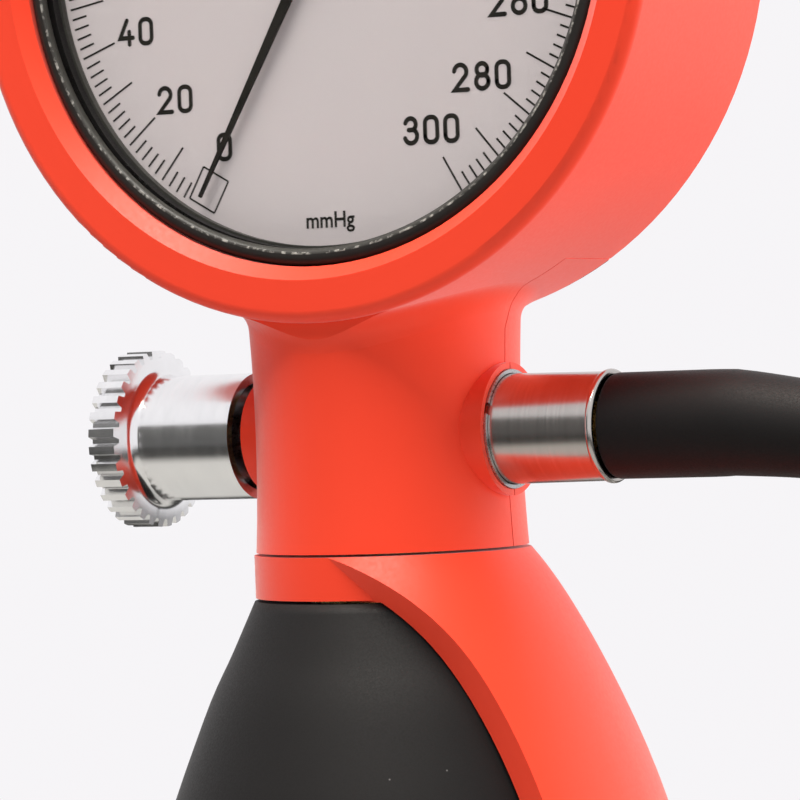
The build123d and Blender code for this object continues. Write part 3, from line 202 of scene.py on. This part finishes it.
def length_of(tree, vector):
    node = tree.nodes.new("ShaderNodeVectorMath")
    node.operation = "LENGTH"
    tree.links.new(vector, node.inputs[0])
    return node.outputs["Value"]


def step(tree, source, start, end, low=0.0, high=1.0):
    """Goes from low to high while the source goes from start to end."""
    node = tree.nodes.new("ShaderNodeMapRange")
    for key, value in (("From Min", start), ("From Max", end), ("To Min", low), ("To Max", high)):
        node.inputs[key].default_value = value
    tree.links.new(source, node.inputs["Value"])
    return node.outputs["Result"]


def combine(tree, operation, first, second):
    node = tree.nodes.new("ShaderNodeMath")
    node.operation = operation
    tree.links.new(first, node.inputs[0])
    tree.links.new(second, node.inputs[1])
    return node.outputs[0]


COLOUR_A, COLOUR_B, COLOUR_OUT = 6, 7, 2  # a mix node's colour sockets


def blend(tree, factor, first, second):
    """Second may be a socket or a plain colour."""
    node = tree.nodes.new("ShaderNodeMix")
    node.data_type = "RGBA"
    tree.links.new(factor, node.inputs["Factor"])
    tree.links.new(first, node.inputs[COLOUR_A])
    if isinstance(second, tuple):
        node.inputs[COLOUR_B].default_value = (*second, 1)
    else:
        tree.links.new(second, node.inputs[COLOUR_B])
    return node.outputs[COLOUR_OUT]


def centred_at(tree, height, keep):
    """Place relative to an axis at the given height; keep has a 0 for the axis itself."""
    where = tree.nodes.new("ShaderNodeTexCoord")
    mapping = tree.nodes.new("ShaderNodeMapping")
    mapping.inputs["Location"].default_value = (0, 0, -height * MM)
    mapping.inputs["Scale"].default_value = keep
    tree.links.new(where.outputs["Object"], mapping.inputs["Vector"])
    return where, mapping.outputs["Vector"]


def surface(name, dark, light, patch, rough, grain, grain_scale, metallic=0.0, stretch=(1, 1, 1), specular=0.5,
            sheen=0.0):
    """Colour drifts between dark and light over patches, roughness and bump follow a finer grain."""
    made, tree, shader = blank(name)
    where = place(tree, stretch)
    tint = ramp(tree, noise(tree, where, patch), dark, light, 0.3, 0.7)
    tree.links.new(tint, shader.inputs["Base Color"])
    fine = noise(tree, where, grain_scale, 2.0)
    tree.links.new(ramp(tree, fine, grey(rough[0]), grey(rough[1]), 0.3, 0.7), shader.inputs["Roughness"])
    bump(tree, shader, fine, grain[0], grain[1])
    shader.inputs["Metallic"].default_value = metallic
    shader.inputs["Specular IOR Level"].default_value = specular
    shader.inputs["Sheen Weight"].default_value = sheen
    shader.inputs["Sheen Roughness"].default_value = 0.4
    return made


def rubber(name, base, speck):
    """Matt rubber with a fine skin and a few pale dust specks."""
    made, tree, shader = blank(name)
    where = place(tree)
    ground = ramp(tree, noise(tree, where, 60.0), [c * 0.85 for c in base], [c * 1.15 for c in base], 0.3, 0.7)
    cells = tree.nodes.new("ShaderNodeTexVoronoi")
    cells.inputs["Scale"].default_value = 230.0
    tree.links.new(where, cells.inputs["Vector"])
    dots = ramp(tree, cells.outputs["Distance"], grey(1.0), grey(0.0), 0.018, 0.03)
    some = ramp(tree, noise(tree, where, 45.0, 1.0), grey(0.0), grey(1.0), 0.56, 0.6)
    both = combine(tree, "MULTIPLY", dots, some)
    tree.links.new(blend(tree, both, ground, speck), shader.inputs["Base Color"])
    fine = noise(tree, where, 5200.0, 2.0)
    tree.links.new(ramp(tree, fine, grey(0.52), grey(0.66), 0.3, 0.7), shader.inputs["Roughness"])
    bump(tree, shader, fine, 0.12, 0.00004)
    shader.inputs["Specular IOR Level"].default_value = 0.2
    shader.inputs["Sheen Weight"].default_value = 0.035
    shader.inputs["Sheen Roughness"].default_value = 0.35
    return made


def brushed(name, dark, light, rough, across, along):
    """Metal with fine turning lines: across and along are the scales round and along the part's X axis."""
    made, tree, shader = blank(name)
    lines = noise(tree, place(tree, (along, across, across)), 1.0, 4.0)
    tree.links.new(ramp(tree, lines, dark, light, 0.25, 0.75), shader.inputs["Base Color"])
    tree.links.new(ramp(tree, lines, grey(rough[0]), grey(rough[1]), 0.25, 0.75), shader.inputs["Roughness"])
    bump(tree, shader, lines, 0.10, 0.00003)
    shader.inputs["Metallic"].default_value = 1.0
    return made


# Radii and depths of the bezel's bore and inner wall, painted paler as painted light, and of its ridge, where bright
# specks are a painted highlight, in metres
INNER_EDGE = (0.02944, 0.02950)
RIDGE_RISE, RIDGE_FALL = (0.02946, 0.02952), (0.02966, 0.02974)
BORE_EDGE, BORE_DEPTH = (0.03005, 0.0302), (-0.01246, -0.01240)


def bezel_black(name):
    """Dark lacquer with a black outside; the inner wall and bore are painted paler, painted light where they sit in
    shade; bright specks on the ridge at 29.5 to 29.7 mm radius are a painted highlight.
    """
    made, tree, shader = blank(name)
    where, across = centred_at(tree, DIAL_Z, (1, 0, 1))
    spot = where.outputs["Object"]
    reach = length_of(tree, across)
    parts = tree.nodes.new("ShaderNodeSeparateXYZ")
    tree.links.new(spot, parts.inputs[0])
    black = ramp(tree, noise(tree, spot, 120.0), (0.010, 0.009, 0.008), (0.016, 0.015, 0.013), 0.3, 0.7)
    # Painted light: the bore and the inner wall inside about 29.5 mm radius are painted paler than the black, standing
    # in for light in their shade
    painted_light_bore = combine(tree, "MINIMUM", step(tree, reach, *BORE_EDGE, 1.0, 0.0),
                   step(tree, parts.outputs["Y"], *BORE_DEPTH))
    painted_light_inside = combine(tree, "MAXIMUM", step(tree, reach, *INNER_EDGE, 1.0, 0.0), painted_light_bore)
    ground = blend(tree, painted_light_inside, black, (0.036, 0.035, 0.031))
    # Painted highlight: bright specks painted on the ridge where it would catch the light
    ridge = combine(tree, "MULTIPLY", step(tree, reach, *RIDGE_RISE), step(tree, reach, *RIDGE_FALL, 1.0, 0.0))
    painted_glint = ramp(tree, noise(tree, spot, 1900.0, 4.0), grey(0.06), grey(1.0), 0.48, 0.66)
    painted_highlight_specks = combine(tree, "MULTIPLY", ridge, painted_glint)
    tree.links.new(blend(tree, painted_highlight_specks, ground, (0.38, 0.365, 0.34)), shader.inputs["Base Color"])
    fine = noise(tree, spot, 3000.0, 2.0)
    tree.links.new(ramp(tree, fine, grey(0.40), grey(0.52), 0.3, 0.7), shader.inputs["Roughness"])
    bump(tree, shader, fine, 0.2, 0.00008)
    shader.inputs["Specular IOR Level"].default_value = 0.3
    return made


def crystal_clear(name):
    made, tree, shader = blank(name)
    haze = noise(tree, place(tree), 40.0)
    tree.links.new(ramp(tree, haze, (0.93, 0.95, 0.95), (0.98, 0.99, 0.99), 0.3, 0.7), shader.inputs["Base Color"])
    tree.links.new(ramp(tree, haze, grey(0.02), grey(0.05), 0.3, 0.7), shader.inputs["Roughness"])
    shader.inputs["Transmission Weight"].default_value = 1.0
    shader.inputs["IOR"].default_value = 1.05
    shader.inputs["Alpha"].default_value = 0.12
    made.surface_render_method = "BLENDED"
    return made


ORANGE_DARK, ORANGE_LIGHT = (0.88, 0.050, 0.018), (0.92, 0.060, 0.023)
MATERIALS = {
    "case_orange": surface(
        "case_orange", ORANGE_DARK, ORANGE_LIGHT, 25.0, (0.40, 0.50), (0.06, 0.00005),
        2600.0, specular=0.26, sheen=0.36,
    ),
    "spoon_orange": surface(
        "spoon_orange", ORANGE_DARK, ORANGE_LIGHT, 20.0, (0.42, 0.52), (0.06, 0.00005),
        2400.0, specular=0.26, sheen=0.30,
    ),
    "cover_black": surface("cover_black", grey(0.014), grey(0.024), 60.0, (0.45, 0.6), (0.35, 0.0001), 1800.0),
    "bezel_black": bezel_black("bezel_black"),
    "cup_metal": surface(
        "cup_metal", grey(0.55), grey(0.66), 300.0, (0.25, 0.4), (0.1, 0.00004), 2500.0, 1.0, (1, 8, 1),
    ),
    "crystal_clear": crystal_clear("crystal_clear"),
    "dial_paint": surface(
        "dial_paint", (0.555, 0.503, 0.515), (0.580, 0.528, 0.540), 30.0, (0.5, 0.62), (0.05, 0.00003), 3500.0,
    ),
    "pointer_black": surface(
        "pointer_black", (0.013, 0.012, 0.010), (0.020, 0.018, 0.015), 400.0, (0.45, 0.6),
        (0.05, 0.00003), 5000.0, specular=0.12,
    ),
    "movement_brass": surface(
        "movement_brass", (0.62, 0.40, 0.13), (0.76, 0.53, 0.22), 160.0, (0.2, 0.38),
        (0.12, 0.00004), 2600.0, 1.0, (1, 1, 6),
    ),
    "steel": surface("steel", grey(0.46), grey(0.58), 260.0, (0.22, 0.38), (0.1, 0.00003), 4000.0, 1.0),
    "capsule_bronze": surface(
        "capsule_bronze", (0.56, 0.36, 0.15), (0.70, 0.48, 0.22), 110.0, (0.25, 0.4), (0.1, 0.00004), 1800.0, 1.0,
    ),
    "manifold_metal": surface(
        "manifold_metal", grey(0.5), grey(0.62), 200.0, (0.3, 0.48), (0.12, 0.00004), 2200.0, 1.0,
    ),
    "fitting_brass": surface(
        "fitting_brass", (0.60, 0.42, 0.16), (0.72, 0.53, 0.24), 220.0, (0.2, 0.34), (0.1, 0.00003), 3200.0, 1.0,
    ),
    "chrome": brushed("chrome", (0.86, 0.86, 0.865), (0.94, 0.94, 0.945), (0.14, 0.21), 260.0, 900.0),
    "ferrule_steel": brushed("ferrule_steel", (0.50, 0.475, 0.45), (0.57, 0.545, 0.52), (0.20, 0.25), 120.0, 5200.0),
    "rubber_black": rubber("rubber_black", (0.0066, 0.0058, 0.0059), (0.16, 0.15, 0.15)),
    "connector_plastic": surface(
        "connector_plastic", grey(0.55), grey(0.66), 90.0, (0.25, 0.4), (0.06, 0.00004), 2500.0,
    ),
    "filter_mesh": surface("filter_mesh", grey(0.36), grey(0.5), 300.0, (0.3, 0.45), (0.1, 0.00004), 3500.0, 1.0),
}
for part in RECORD["subparts"]:
    held = NODES[part["node"]]
    if not held.material_slots:
        held.data.materials.append(None)
    for socket in held.material_slots:
        socket.material = MATERIALS[part["material_slot"]]


# Hose
HOSE_D = 8.8
route = [
    (36.5, 0.0, 106.0), (42.5, 0.0, 105.45), (52.5, 0.0, 103.8), (71.0, 0.5, 97.3), (90.4, 2.6, 82.8),
    (104.0, 7.1, 61.1), (109.0, 17.3, 37.5), (107.8, 34.0, 18.6), (105.6, 51.4, 8.3), (101.3, 66.4, 4.4),
]
COIL_Z = 4.4
coil_start, coil_heading = Vector((94.4, 80.4)), Vector((-6.9, 14.0))
coil_turns = ((52.0, 180), (47.3, 180), (42.6, 95), (37.0, 70))
TURN_STEP = 15.0


def coil_points():
    """Each turn is a polygon whose sides touch the turn's circle at their middles."""
    spot, heading, made = coil_start.copy(), coil_heading.normalized(), []
    for radius, sweep in coil_turns:
        centre = spot + Vector((-heading.y, heading.x)) * radius
        count = round(sweep / TURN_STEP)
        share = math.radians(sweep / count)
        for i in range(count):
            arm = Matrix.Rotation((i + 0.5) * share, 2) @ (spot - centre) / math.cos(share / 2)
            made.append((centre.x + arm.x, centre.y + arm.y, COIL_Z))
        whole = Matrix.Rotation(math.radians(sweep), 2)
        spot, heading = centre + whole @ (spot - centre), whole @ heading
    tail = spot + heading * HOSE_D
    return made + [(tail.x, tail.y, COIL_Z)]


route += coil_points()
hose_curve = bpy.data.curves.new("hose_line", "CURVE")
hose_curve.dimensions = "3D"
hose_spline = hose_curve.splines.new("NURBS")
hose_spline.points.add(len(route) - 1)
for control, spot in zip(hose_spline.points, route):
    control.co = (spot[0] * MM, spot[1] * MM, spot[2] * MM, 1)
hose_spline.order_u = 3
hose_spline.use_endpoint_u = True
hose_spline.resolution_u = 8
bare = bpy.data.objects.new("bare", hose_curve)
path_mesh = bpy.data.meshes.new_from_object(bare)
hose_path = [v.co.copy() for v in path_mesh.vertices]
bpy.data.objects.remove(bare)
hose_curve.bevel_depth = HOSE_D / 2 * MM
hose_curve.bevel_resolution = 6
hose_curve.use_fill_caps = True
hose_line = put("hose_line", hose_curve, "case", MATERIALS["rubber_black"])
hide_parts("hose_drop", "hose_coil")


OVER_BARB_X = (24.45, 26, 28, 30, 32, 34, 35.5)
SWELL_R, SWELL_END_R, SWELL_LIP_R = 4.93, 4.43, 4.2
MOUTH = ((4.0, 0.0), (4.72, 0.0), (4.86, 0.0001), (4.93, 0.00035))  # radius in mm, place along the hose in m
SWELL_PAST_BARB, SWELL_THICK_UNTIL = 0.0105, 0.0095


def swell():
    """The hose's end, stretched over the barb: it follows the hose's own line and thins out along it."""
    spots = [Vector((x, 0, PORT_Z)) * MM for x in OVER_BARB_X]
    gone = 0.0
    for i, spot in enumerate(hose_path):
        if i:
            gone += (spot - hose_path[i - 1]).length
        if gone > SWELL_PAST_BARB:
            break
        spots.append(spot)
    lengths = [0.0]
    for i in range(1, len(spots)):
        lengths.append(lengths[-1] + (spots[i] - spots[i - 1]).length)
    steps, points, faces = 48, [], []
    rings = [(spots[0] + Vector((along, 0, 0)), radius) for radius, along in MOUTH]
    for i, spot in enumerate(spots[1:], 1):
        t = min(max((lengths[i] - SWELL_THICK_UNTIL) / (lengths[-1] - SWELL_THICK_UNTIL), 0), 1)
        ease = t * t * (3 - 2 * t)
        rings.append((spot, SWELL_R + (SWELL_END_R - SWELL_R) * ease))
    rings.append((spots[-1], SWELL_LIP_R))
    for i, (spot, radius) in enumerate(rings):
        ahead = rings[min(i + 1, len(rings) - 1)][0]
        behind = rings[max(i - 1, 0)][0]
        way = ahead - behind
        way = way.normalized() if way.length > 1e-9 else Vector((1, 0, 0))
        side = Vector((0, 1, 0)).cross(way).normalized()
        other = way.cross(side)
        for k in range(steps):
            turn = 2 * math.pi * k / steps
            points.append(spot + (math.cos(turn) * side + math.sin(turn) * other) * radius * MM)
    for i in range(len(rings) - 1):
        for k in range(steps):
            a, b = i * steps + k, i * steps + (k + 1) % steps
            faces.append((a, b, b + steps, a + steps))
    return mesh_of("hose_swell", points, faces)


hose_swell = put("hose_swell", swell(), "case", MATERIALS["rubber_black"])
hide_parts("hose_end")


# Bulb
BULB_R = 25.0


def bulb_outline():
    """A smooth curve through the source's places, as (radius, height)."""
    side = [(13.3, 90.4), (15.5, 85.7), (18.6, 79.2), (23.3, 66.0), (25.0, 52.4), (24.1, 39.4), (21.9, 27.4),
            (18.8, 16.4), (15.4, 7.6), (13.6, 1.9), (9.8, 0.0)]
    line = []
    steps = 5
    for i in range(len(side) - 1):
        a, b = Vector(side[i]), Vector(side[i + 1])
        before = Vector(side[i - 1]) if i else a + (a - b)
        after = Vector(side[i + 2]) if i + 2 < len(side) else b + (b - a)
        for k in range(steps):
            t = k / steps
            spot = 0.5 * (2 * a + (b - before) * t + (2 * before - 5 * a + 4 * b - after) * t * t
                          + (3 * a - before - 3 * b + after) * t ** 3)
            line.append((min(spot.x, BULB_R), max(spot.y, 0.0)))
    return line


bulb_top = [(8.2, 90.2), (12.6, 90.4)]
bulb_foot = [(9.8, 0.0), (7.4, 0.0), (7.2, 0.5), (6.8, 2.4), (6.2, 2.6), (4.0, 2.6)]
bulb_line = bulb_top + bulb_outline() + bulb_foot
bulb_skin = put("bulb_skin", turned("bulb_skin", bulb_line, (0, 0, 0), (0, 0, 1), 128, closed=False),
                "case", MATERIALS["rubber_black"])
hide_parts("bulb")


# Dial
def on_dial(radius, degrees, y):
    """A place on the dial: degrees count clockwise from the top, as the reader sees it."""
    turn = math.radians(degrees)
    return Vector((radius * math.sin(turn), y, DIAL_Z + radius * math.cos(turn)))


def bar(points, faces, a, b, half, back, front):
    """A flat bar from a to b on the dial, half wide to each side."""
    way = (b - a).normalized()
    side = Vector((0, 1, 0)).cross(way) * half
    base = len(points)
    for y in (back, front):
        for spot in (a - side, a + side, b + side, b - side):
            points.append(Vector((spot.x, y, spot.z)) * MM)
    for quad in ((4, 5, 6, 7), (0, 1, 5, 4), (1, 2, 6, 5), (2, 3, 7, 6), (3, 0, 4, 7)):
        faces.append(tuple(base + k for k in quad))


INK_BACK, INK_FRONT = DIAL_FACE_Y + 0.01, DIAL_FACE_Y - 0.02
MARK_OUTER_R, LONG_MARK_R, SHORT_MARK_R, MARK_HALF, BOX_HALF = 28.45, 24.6, 26.8, 0.095, 0.085
points, faces = [], []
for value in range(4, SCALE_DEGREES + 1, 2):
    inner = LONG_MARK_R if value % 10 == 0 else SHORT_MARK_R
    angle = FIRST_MARK_DEGREES + value
    bar(points, faces, on_dial(inner, angle, 0), on_dial(MARK_OUTER_R, angle, 0), MARK_HALF, INK_BACK, INK_FRONT)
outward = on_dial(1, FIRST_MARK_DEGREES, 0) - on_dial(0, 0, 0)
across = Vector((0, 1, 0)).cross(outward)
hub = Vector((0, 0, DIAL_Z))
box = ((24.8, -1.72), (24.8, 1.38), (28.15, 1.38), (28.15, -1.72))
corners = [hub + outward * r + across * s for r, s in box]
for k in range(4):
    bar(points, faces, corners[k], corners[(k + 1) % 4], BOX_HALF, INK_BACK, INK_FRONT)
dial_scale = put("dial_scale", mesh_of("dial_scale", points, faces), "case",
                 MATERIALS["pointer_black"], smooth=False)


TEXT_Y, TEXT_HALF_DEPTH = DIAL_FACE_Y - 0.012, 0.015


def text_mesh(words, x, z, size, wide, bold):
    """One word as a mesh on the dial's face, centred on (x, z)."""
    letters = bpy.data.curves.new("letters", "FONT")
    letters.body = words
    letters.size = size * MM
    letters.offset = bold * MM
    letters.extrude = TEXT_HALF_DEPTH * MM
    letters.resolution_u = 6
    letters.align_x = "CENTER"
    letters.align_y = "CENTER"
    holder = bpy.data.objects.new("letters", letters)
    SCENE.collection.objects.link(holder)
    bpy.context.view_layer.update()
    data = bpy.data.meshes.new_from_object(holder.evaluated_get(bpy.context.evaluated_depsgraph_get()))
    bpy.data.objects.remove(holder)
    low = min(v.co.x for v in data.vertices)
    high = max(v.co.x for v in data.vertices)
    floor = min(v.co.y for v in data.vertices)
    top = max(v.co.y for v in data.vertices)
    for v in data.vertices:
        flat_x = (v.co.x - (low + high) / 2) * wide
        flat_z = v.co.y - (floor + top) / 2
        v.co = Vector((x * MM + flat_x, TEXT_Y * MM - v.co.z, z * MM + flat_z))
    return data


def outward_mesh(name, data):
    """A copy whose faces all point outwards."""
    work = bmesh.new()
    work.from_mesh(data)
    bmesh.ops.recalc_face_normals(work, faces=work.faces)
    made = bpy.data.meshes.new(name)
    work.to_mesh(made)
    work.free()
    return made


def bow(x, z, radius, start, end, count=14):
    """Points of an arc, angles in degrees from the right."""
    turns = [math.radians(start + (end - start) * i / count) for i in range(count + 1)]
    return [(x + radius * math.cos(t), z + radius * math.sin(t)) for t in turns]


# Each digit is one or more pen lines with the line's width left off, in millimetres from its lower left corner
TALL = 2.29
DIGITS = {
    "0": (1.28, [bow(0.55, 0.55, 0.55, 180, 270) + bow(0.73, 0.55, 0.55, 270, 360)
                 + bow(0.73, TALL - 0.55, 0.55, 0, 90) + bow(0.55, TALL - 0.55, 0.55, 90, 180) + [(0, 0.55)]]),
    "1": (0.62, [[(0, 1.72), (0.62, TALL), (0.62, 0)]]),
    "2": (1.42, [bow(0.66, TALL - 0.64, 0.64, 172, -36) + [(0.02, 0.0), (1.42, 0.0)]]),
    "3": (1.30, [bow(0.62, TALL - 0.56, 0.56, 165, -66) + bow(0.64, 0.65, 0.65, 66, -165),
                 [(0.42, 1.23), (0.80, 1.23)]]),
    "4": (1.45, [[(0.82, TALL), (0, 0.62), (1.45, 0.62)], [(1.05, 1.20), (1.05, 0)]]),
    "6": (1.30, [bow(0.65, 0.65, 0.65, 148, 508, 32), [(0.95, TALL), (0.10, 1.0)]]),
    "8": (1.32, [bow(0.66, TALL - 0.55, 0.55, 0, 360, 28), bow(0.66, 0.64, 0.64, 0, 360, 32)]),
}
PEN, LETTER_GAP, LINE_LAYER = 0.22, 0.84, 0.002
SHARPEST_CORNER, ROUND_END_STEPS = 0.45, 8


def ribbon(points, faces, line, half, y):
    """A flat pen line with round ends through the given (x, z) places."""
    spots = [Vector(p) for p in line]
    base = len(points)
    last = len(spots) - 1
    for i, spot in enumerate(spots):
        before = (spot - spots[i - 1]).normalized() if i else None
        after = (spots[i + 1] - spot).normalized() if i < last else None
        way = ((before or after) + (after or before)).normalized()
        reach = half / max(way.dot(after or before), SHARPEST_CORNER)
        side = Vector((-way.y, way.x)) * reach
        for edge in (spot + side, spot - side):
            points.append(Vector((edge.x, y, edge.y)) * MM)
        if i:
            a = base + 2 * (i - 1)
            faces.append((a, a + 1, a + 3, a + 2))
    for spot, way, a, b in ((spots[0], spots[0] - spots[1], base, base + 1),
                            (spots[-1], spots[-1] - spots[-2], base + 2 * last + 1, base + 2 * last)):
        facing = math.atan2(way.y, way.x)
        ring = [a]
        for k in range(1, ROUND_END_STEPS):
            turn = facing - math.pi * (0.5 - k / ROUND_END_STEPS)
            ring.append(len(points))
            points.append(Vector((spot.x + half * math.cos(turn), y, spot.y + half * math.sin(turn))) * MM)
        faces.append(tuple(ring + [b]))


NUMBER_R = 22.0
NUDGED = {0: (-0.2, 0.0), 20: (0.33, -0.1), 280: (-0.25, 0.0), 300: (0.15, 0.33)}
points, faces = [], []
for value in range(0, SCALE_DEGREES + 1, 20):
    nudge = NUDGED.get(value, (0.0, 0.0))
    spot = on_dial(NUMBER_R, FIRST_MARK_DEGREES + value, 0) + Vector((nudge[0], 0, nudge[1]))
    widths = [DIGITS[d][0] for d in str(value)]
    left = spot.x - (sum(widths) + LETTER_GAP * (len(widths) - 1)) / 2
    for digit, width in zip(str(value), widths):
        for k, line in enumerate(DIGITS[digit][1]):
            pen_line = [(left + x, spot.z - TALL / 2 + z) for x, z in line]
            ribbon(points, faces, pen_line, PEN, INK_FRONT - LINE_LAYER * k)
        left += width + LETTER_GAP
dial_numbers = put("dial_numbers", mesh_of("dial_numbers", points, faces), "case",
                   MATERIALS["pointer_black"], smooth=False)
UNIT_BELOW = 26.70
unit = text_mesh("mmHg", 0.1, DIAL_Z - UNIT_BELOW, 2.10, 0.93, 0.035)
dial_unit = put("dial_unit", outward_mesh("dial_unit", unit), "case",
                MATERIALS["pointer_black"], smooth=False)

# Bezel
bezel_outline = rounded_outline([
    (29.15, -12.5, 0.0), (29.55, -12.95, 0.15), (30.30, -13.0, 0.35), (30.75, -12.55, 0.2), (30.75, -11.5, 0.0),
    (33.2, -11.5, 0.0), (33.2, -10.5, 0.0), (29.95, -10.5, 0.0), (29.95, -12.5, 0.0),
])
bezel_bead = put("bezel_bead", turned("bezel_bead", bezel_outline, (0, 0, DIAL_Z), (0, 1, 0), 180),
                 "case", MATERIALS["bezel_black"])
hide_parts("bezel_ring")


# Knob: the flat back of its toothed flange becomes a shallow cone
KNOB_BACK_X, CONE_START_R, CONE_SLOPE, ON_BACK, SHARP_DEGREES = -25.3, 7.1, 0.2, 0.01, 25
flat_knob = NODES["valve_knob"]
knob_points = [flat_knob.matrix_world @ v.co for v in flat_knob.data.vertices]
for spot in knob_points:
    reach = math.hypot(spot.y, spot.z - PORT_Z * MM) / MM
    if abs(spot.x / MM - KNOB_BACK_X) < ON_BACK and reach > CONE_START_R:
        spot.x -= (reach - CONE_START_R) * CONE_SLOPE * MM
knob_faces = [tuple(face.vertices) for face in flat_knob.data.polygons]
valve_knob_cone = put("valve_knob_cone", mesh_of("valve_knob_cone", knob_points, knob_faces), "valve_knob",
                      MATERIALS["chrome"])
valve_knob_cone.data.set_sharp_from_angle(angle=math.radians(SHARP_DEGREES))
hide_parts("valve_knob")


# Floor, world, lights
FLOOR_R, FLOOR_MIDDLE, FLOOR_Z, FLOOR_SIDES = 0.64, 0.03, -0.0002, 72
FADE_START, FADE_END = 0.30, 0.62
DARK_START, DARK_END = 0.150, 0.215


def floor_material():
    """A pale floor that fades out; what shines on it reflects a darker ground some way off."""
    made = bpy.data.materials.new("studio_floor")
    made.use_nodes = True
    tree = made.node_tree
    tree.nodes.clear()
    out = tree.nodes.new("ShaderNodeOutputMaterial")
    flat = tree.nodes.new("ShaderNodeBsdfDiffuse")
    tint = ramp(tree, noise(tree, place(tree), 3.0), (0.42, 0.42, 0.425), (0.46, 0.46, 0.465), 0.3, 0.7)
    where = tree.nodes.new("ShaderNodeTexCoord")
    away = length_of(tree, where.outputs["Object"])
    mirrored = ramp(tree, away, grey(0.35), grey(0.03), DARK_START, DARK_END)
    rays = tree.nodes.new("ShaderNodeLightPath")
    tree.links.new(blend(tree, rays.outputs["Is Glossy Ray"], tint, mirrored), flat.inputs["Color"])
    clear = tree.nodes.new("ShaderNodeBsdfTransparent")
    mix = tree.nodes.new("ShaderNodeMixShader")
    tree.links.new(ramp(tree, away, grey(0.0), grey(1.0), FADE_START, FADE_END), mix.inputs["Fac"])
    tree.links.new(flat.outputs[0], mix.inputs[1])
    tree.links.new(clear.outputs[0], mix.inputs[2])
    tree.links.new(mix.outputs[0], out.inputs["Surface"])
    return made


floor_turns = [math.radians(i * 360 / FLOOR_SIDES) for i in range(FLOOR_SIDES)]
floor_data = mesh_of("floor", [
    (FLOOR_R * math.cos(t) + FLOOR_MIDDLE, FLOOR_R * math.sin(t) + FLOOR_MIDDLE, FLOOR_Z) for t in floor_turns
], [tuple(range(FLOOR_SIDES))])
floor = bpy.data.objects.new("floor", floor_data)
SCENE.collection.objects.link(floor)
floor_data.materials.append(floor_material())

world = bpy.data.worlds.new("studio")
SCENE.world = world
world.use_nodes = True
tree = world.node_tree
tree.nodes.clear()
out = tree.nodes.new("ShaderNodeOutputWorld")
seen = tree.nodes.new("ShaderNodeBackground")
seen.inputs["Color"].default_value = (0.925, 0.910, 0.930, 1)
seen.inputs["Strength"].default_value = 1.0
fill = tree.nodes.new("ShaderNodeBackground")
fill.inputs["Color"].default_value = (0.95, 0.97, 1.0, 1)
fill.inputs["Strength"].default_value = 0.15
rays = tree.nodes.new("ShaderNodeLightPath")
direct = combine(tree, "MAXIMUM", rays.outputs["Is Camera Ray"], rays.outputs["Is Glossy Ray"])
direct = combine(tree, "MAXIMUM", direct, rays.outputs["Is Transmission Ray"])
choose = tree.nodes.new("ShaderNodeMixShader")
tree.links.new(direct, choose.inputs["Fac"])
tree.links.new(fill.outputs[0], choose.inputs[1])
tree.links.new(seen.outputs[0], choose.inputs[2])
tree.links.new(choose.outputs[0], out.inputs["Surface"])


def lamp(name, spot, aim, size, watts, tint=(1, 1, 1), glossy=False):
    data = bpy.data.lights.new(name, "AREA")
    data.shape = "SQUARE"
    data.size = size
    data.energy = watts
    data.color = tint
    made = bpy.data.objects.new(name, data)
    SCENE.collection.objects.link(made)
    made.location = spot
    made.rotation_euler = (Vector(aim) - Vector(spot)).to_track_quat("-Z", "Y").to_euler()
    made.visible_camera = False
    made.visible_glossy = glossy


middle = (0.0, 0.0, 0.11)
lamp("top_light", (0.02, -0.19, 0.86), middle, 0.45, 13.2, (1.0, 0.96, 0.88), glossy=True)
lamp("right_light", (0.50, 0.62, 0.15), middle, 1.2, 13.0)
lamp("side_light", (0.75, 0.05, 0.03), middle, 0.4, 2.8)
lamp("front_light", (-0.25, -0.80, 0.35), middle, 0.5, 1.2)

# A dark card that only reflections see
CARD_HALF_WIDE, CARD_HALF_TALL = 0.30, 0.52
card_data = mesh_of("dark_card", [
    (x * CARD_HALF_WIDE, 0, z * CARD_HALF_TALL) for x, z in ((-1, -1), (1, -1), (1, 1), (-1, 1))
], [(0, 1, 2, 3)])
card_data.materials.append(surface("card_black", grey(0.07), grey(0.09), 8.0, (0.7, 0.8), (0.1, 0.0001), 900.0))
card = bpy.data.objects.new("dark_card", card_data)
SCENE.collection.objects.link(card)
card.location = (-0.42, -0.72, -0.09)
card.rotation_euler = (0, 0, math.radians(-30))
card.visible_camera = False
card.visible_diffuse = False
card.visible_shadow = False

SCENE.view_settings.view_transform = "Standard"
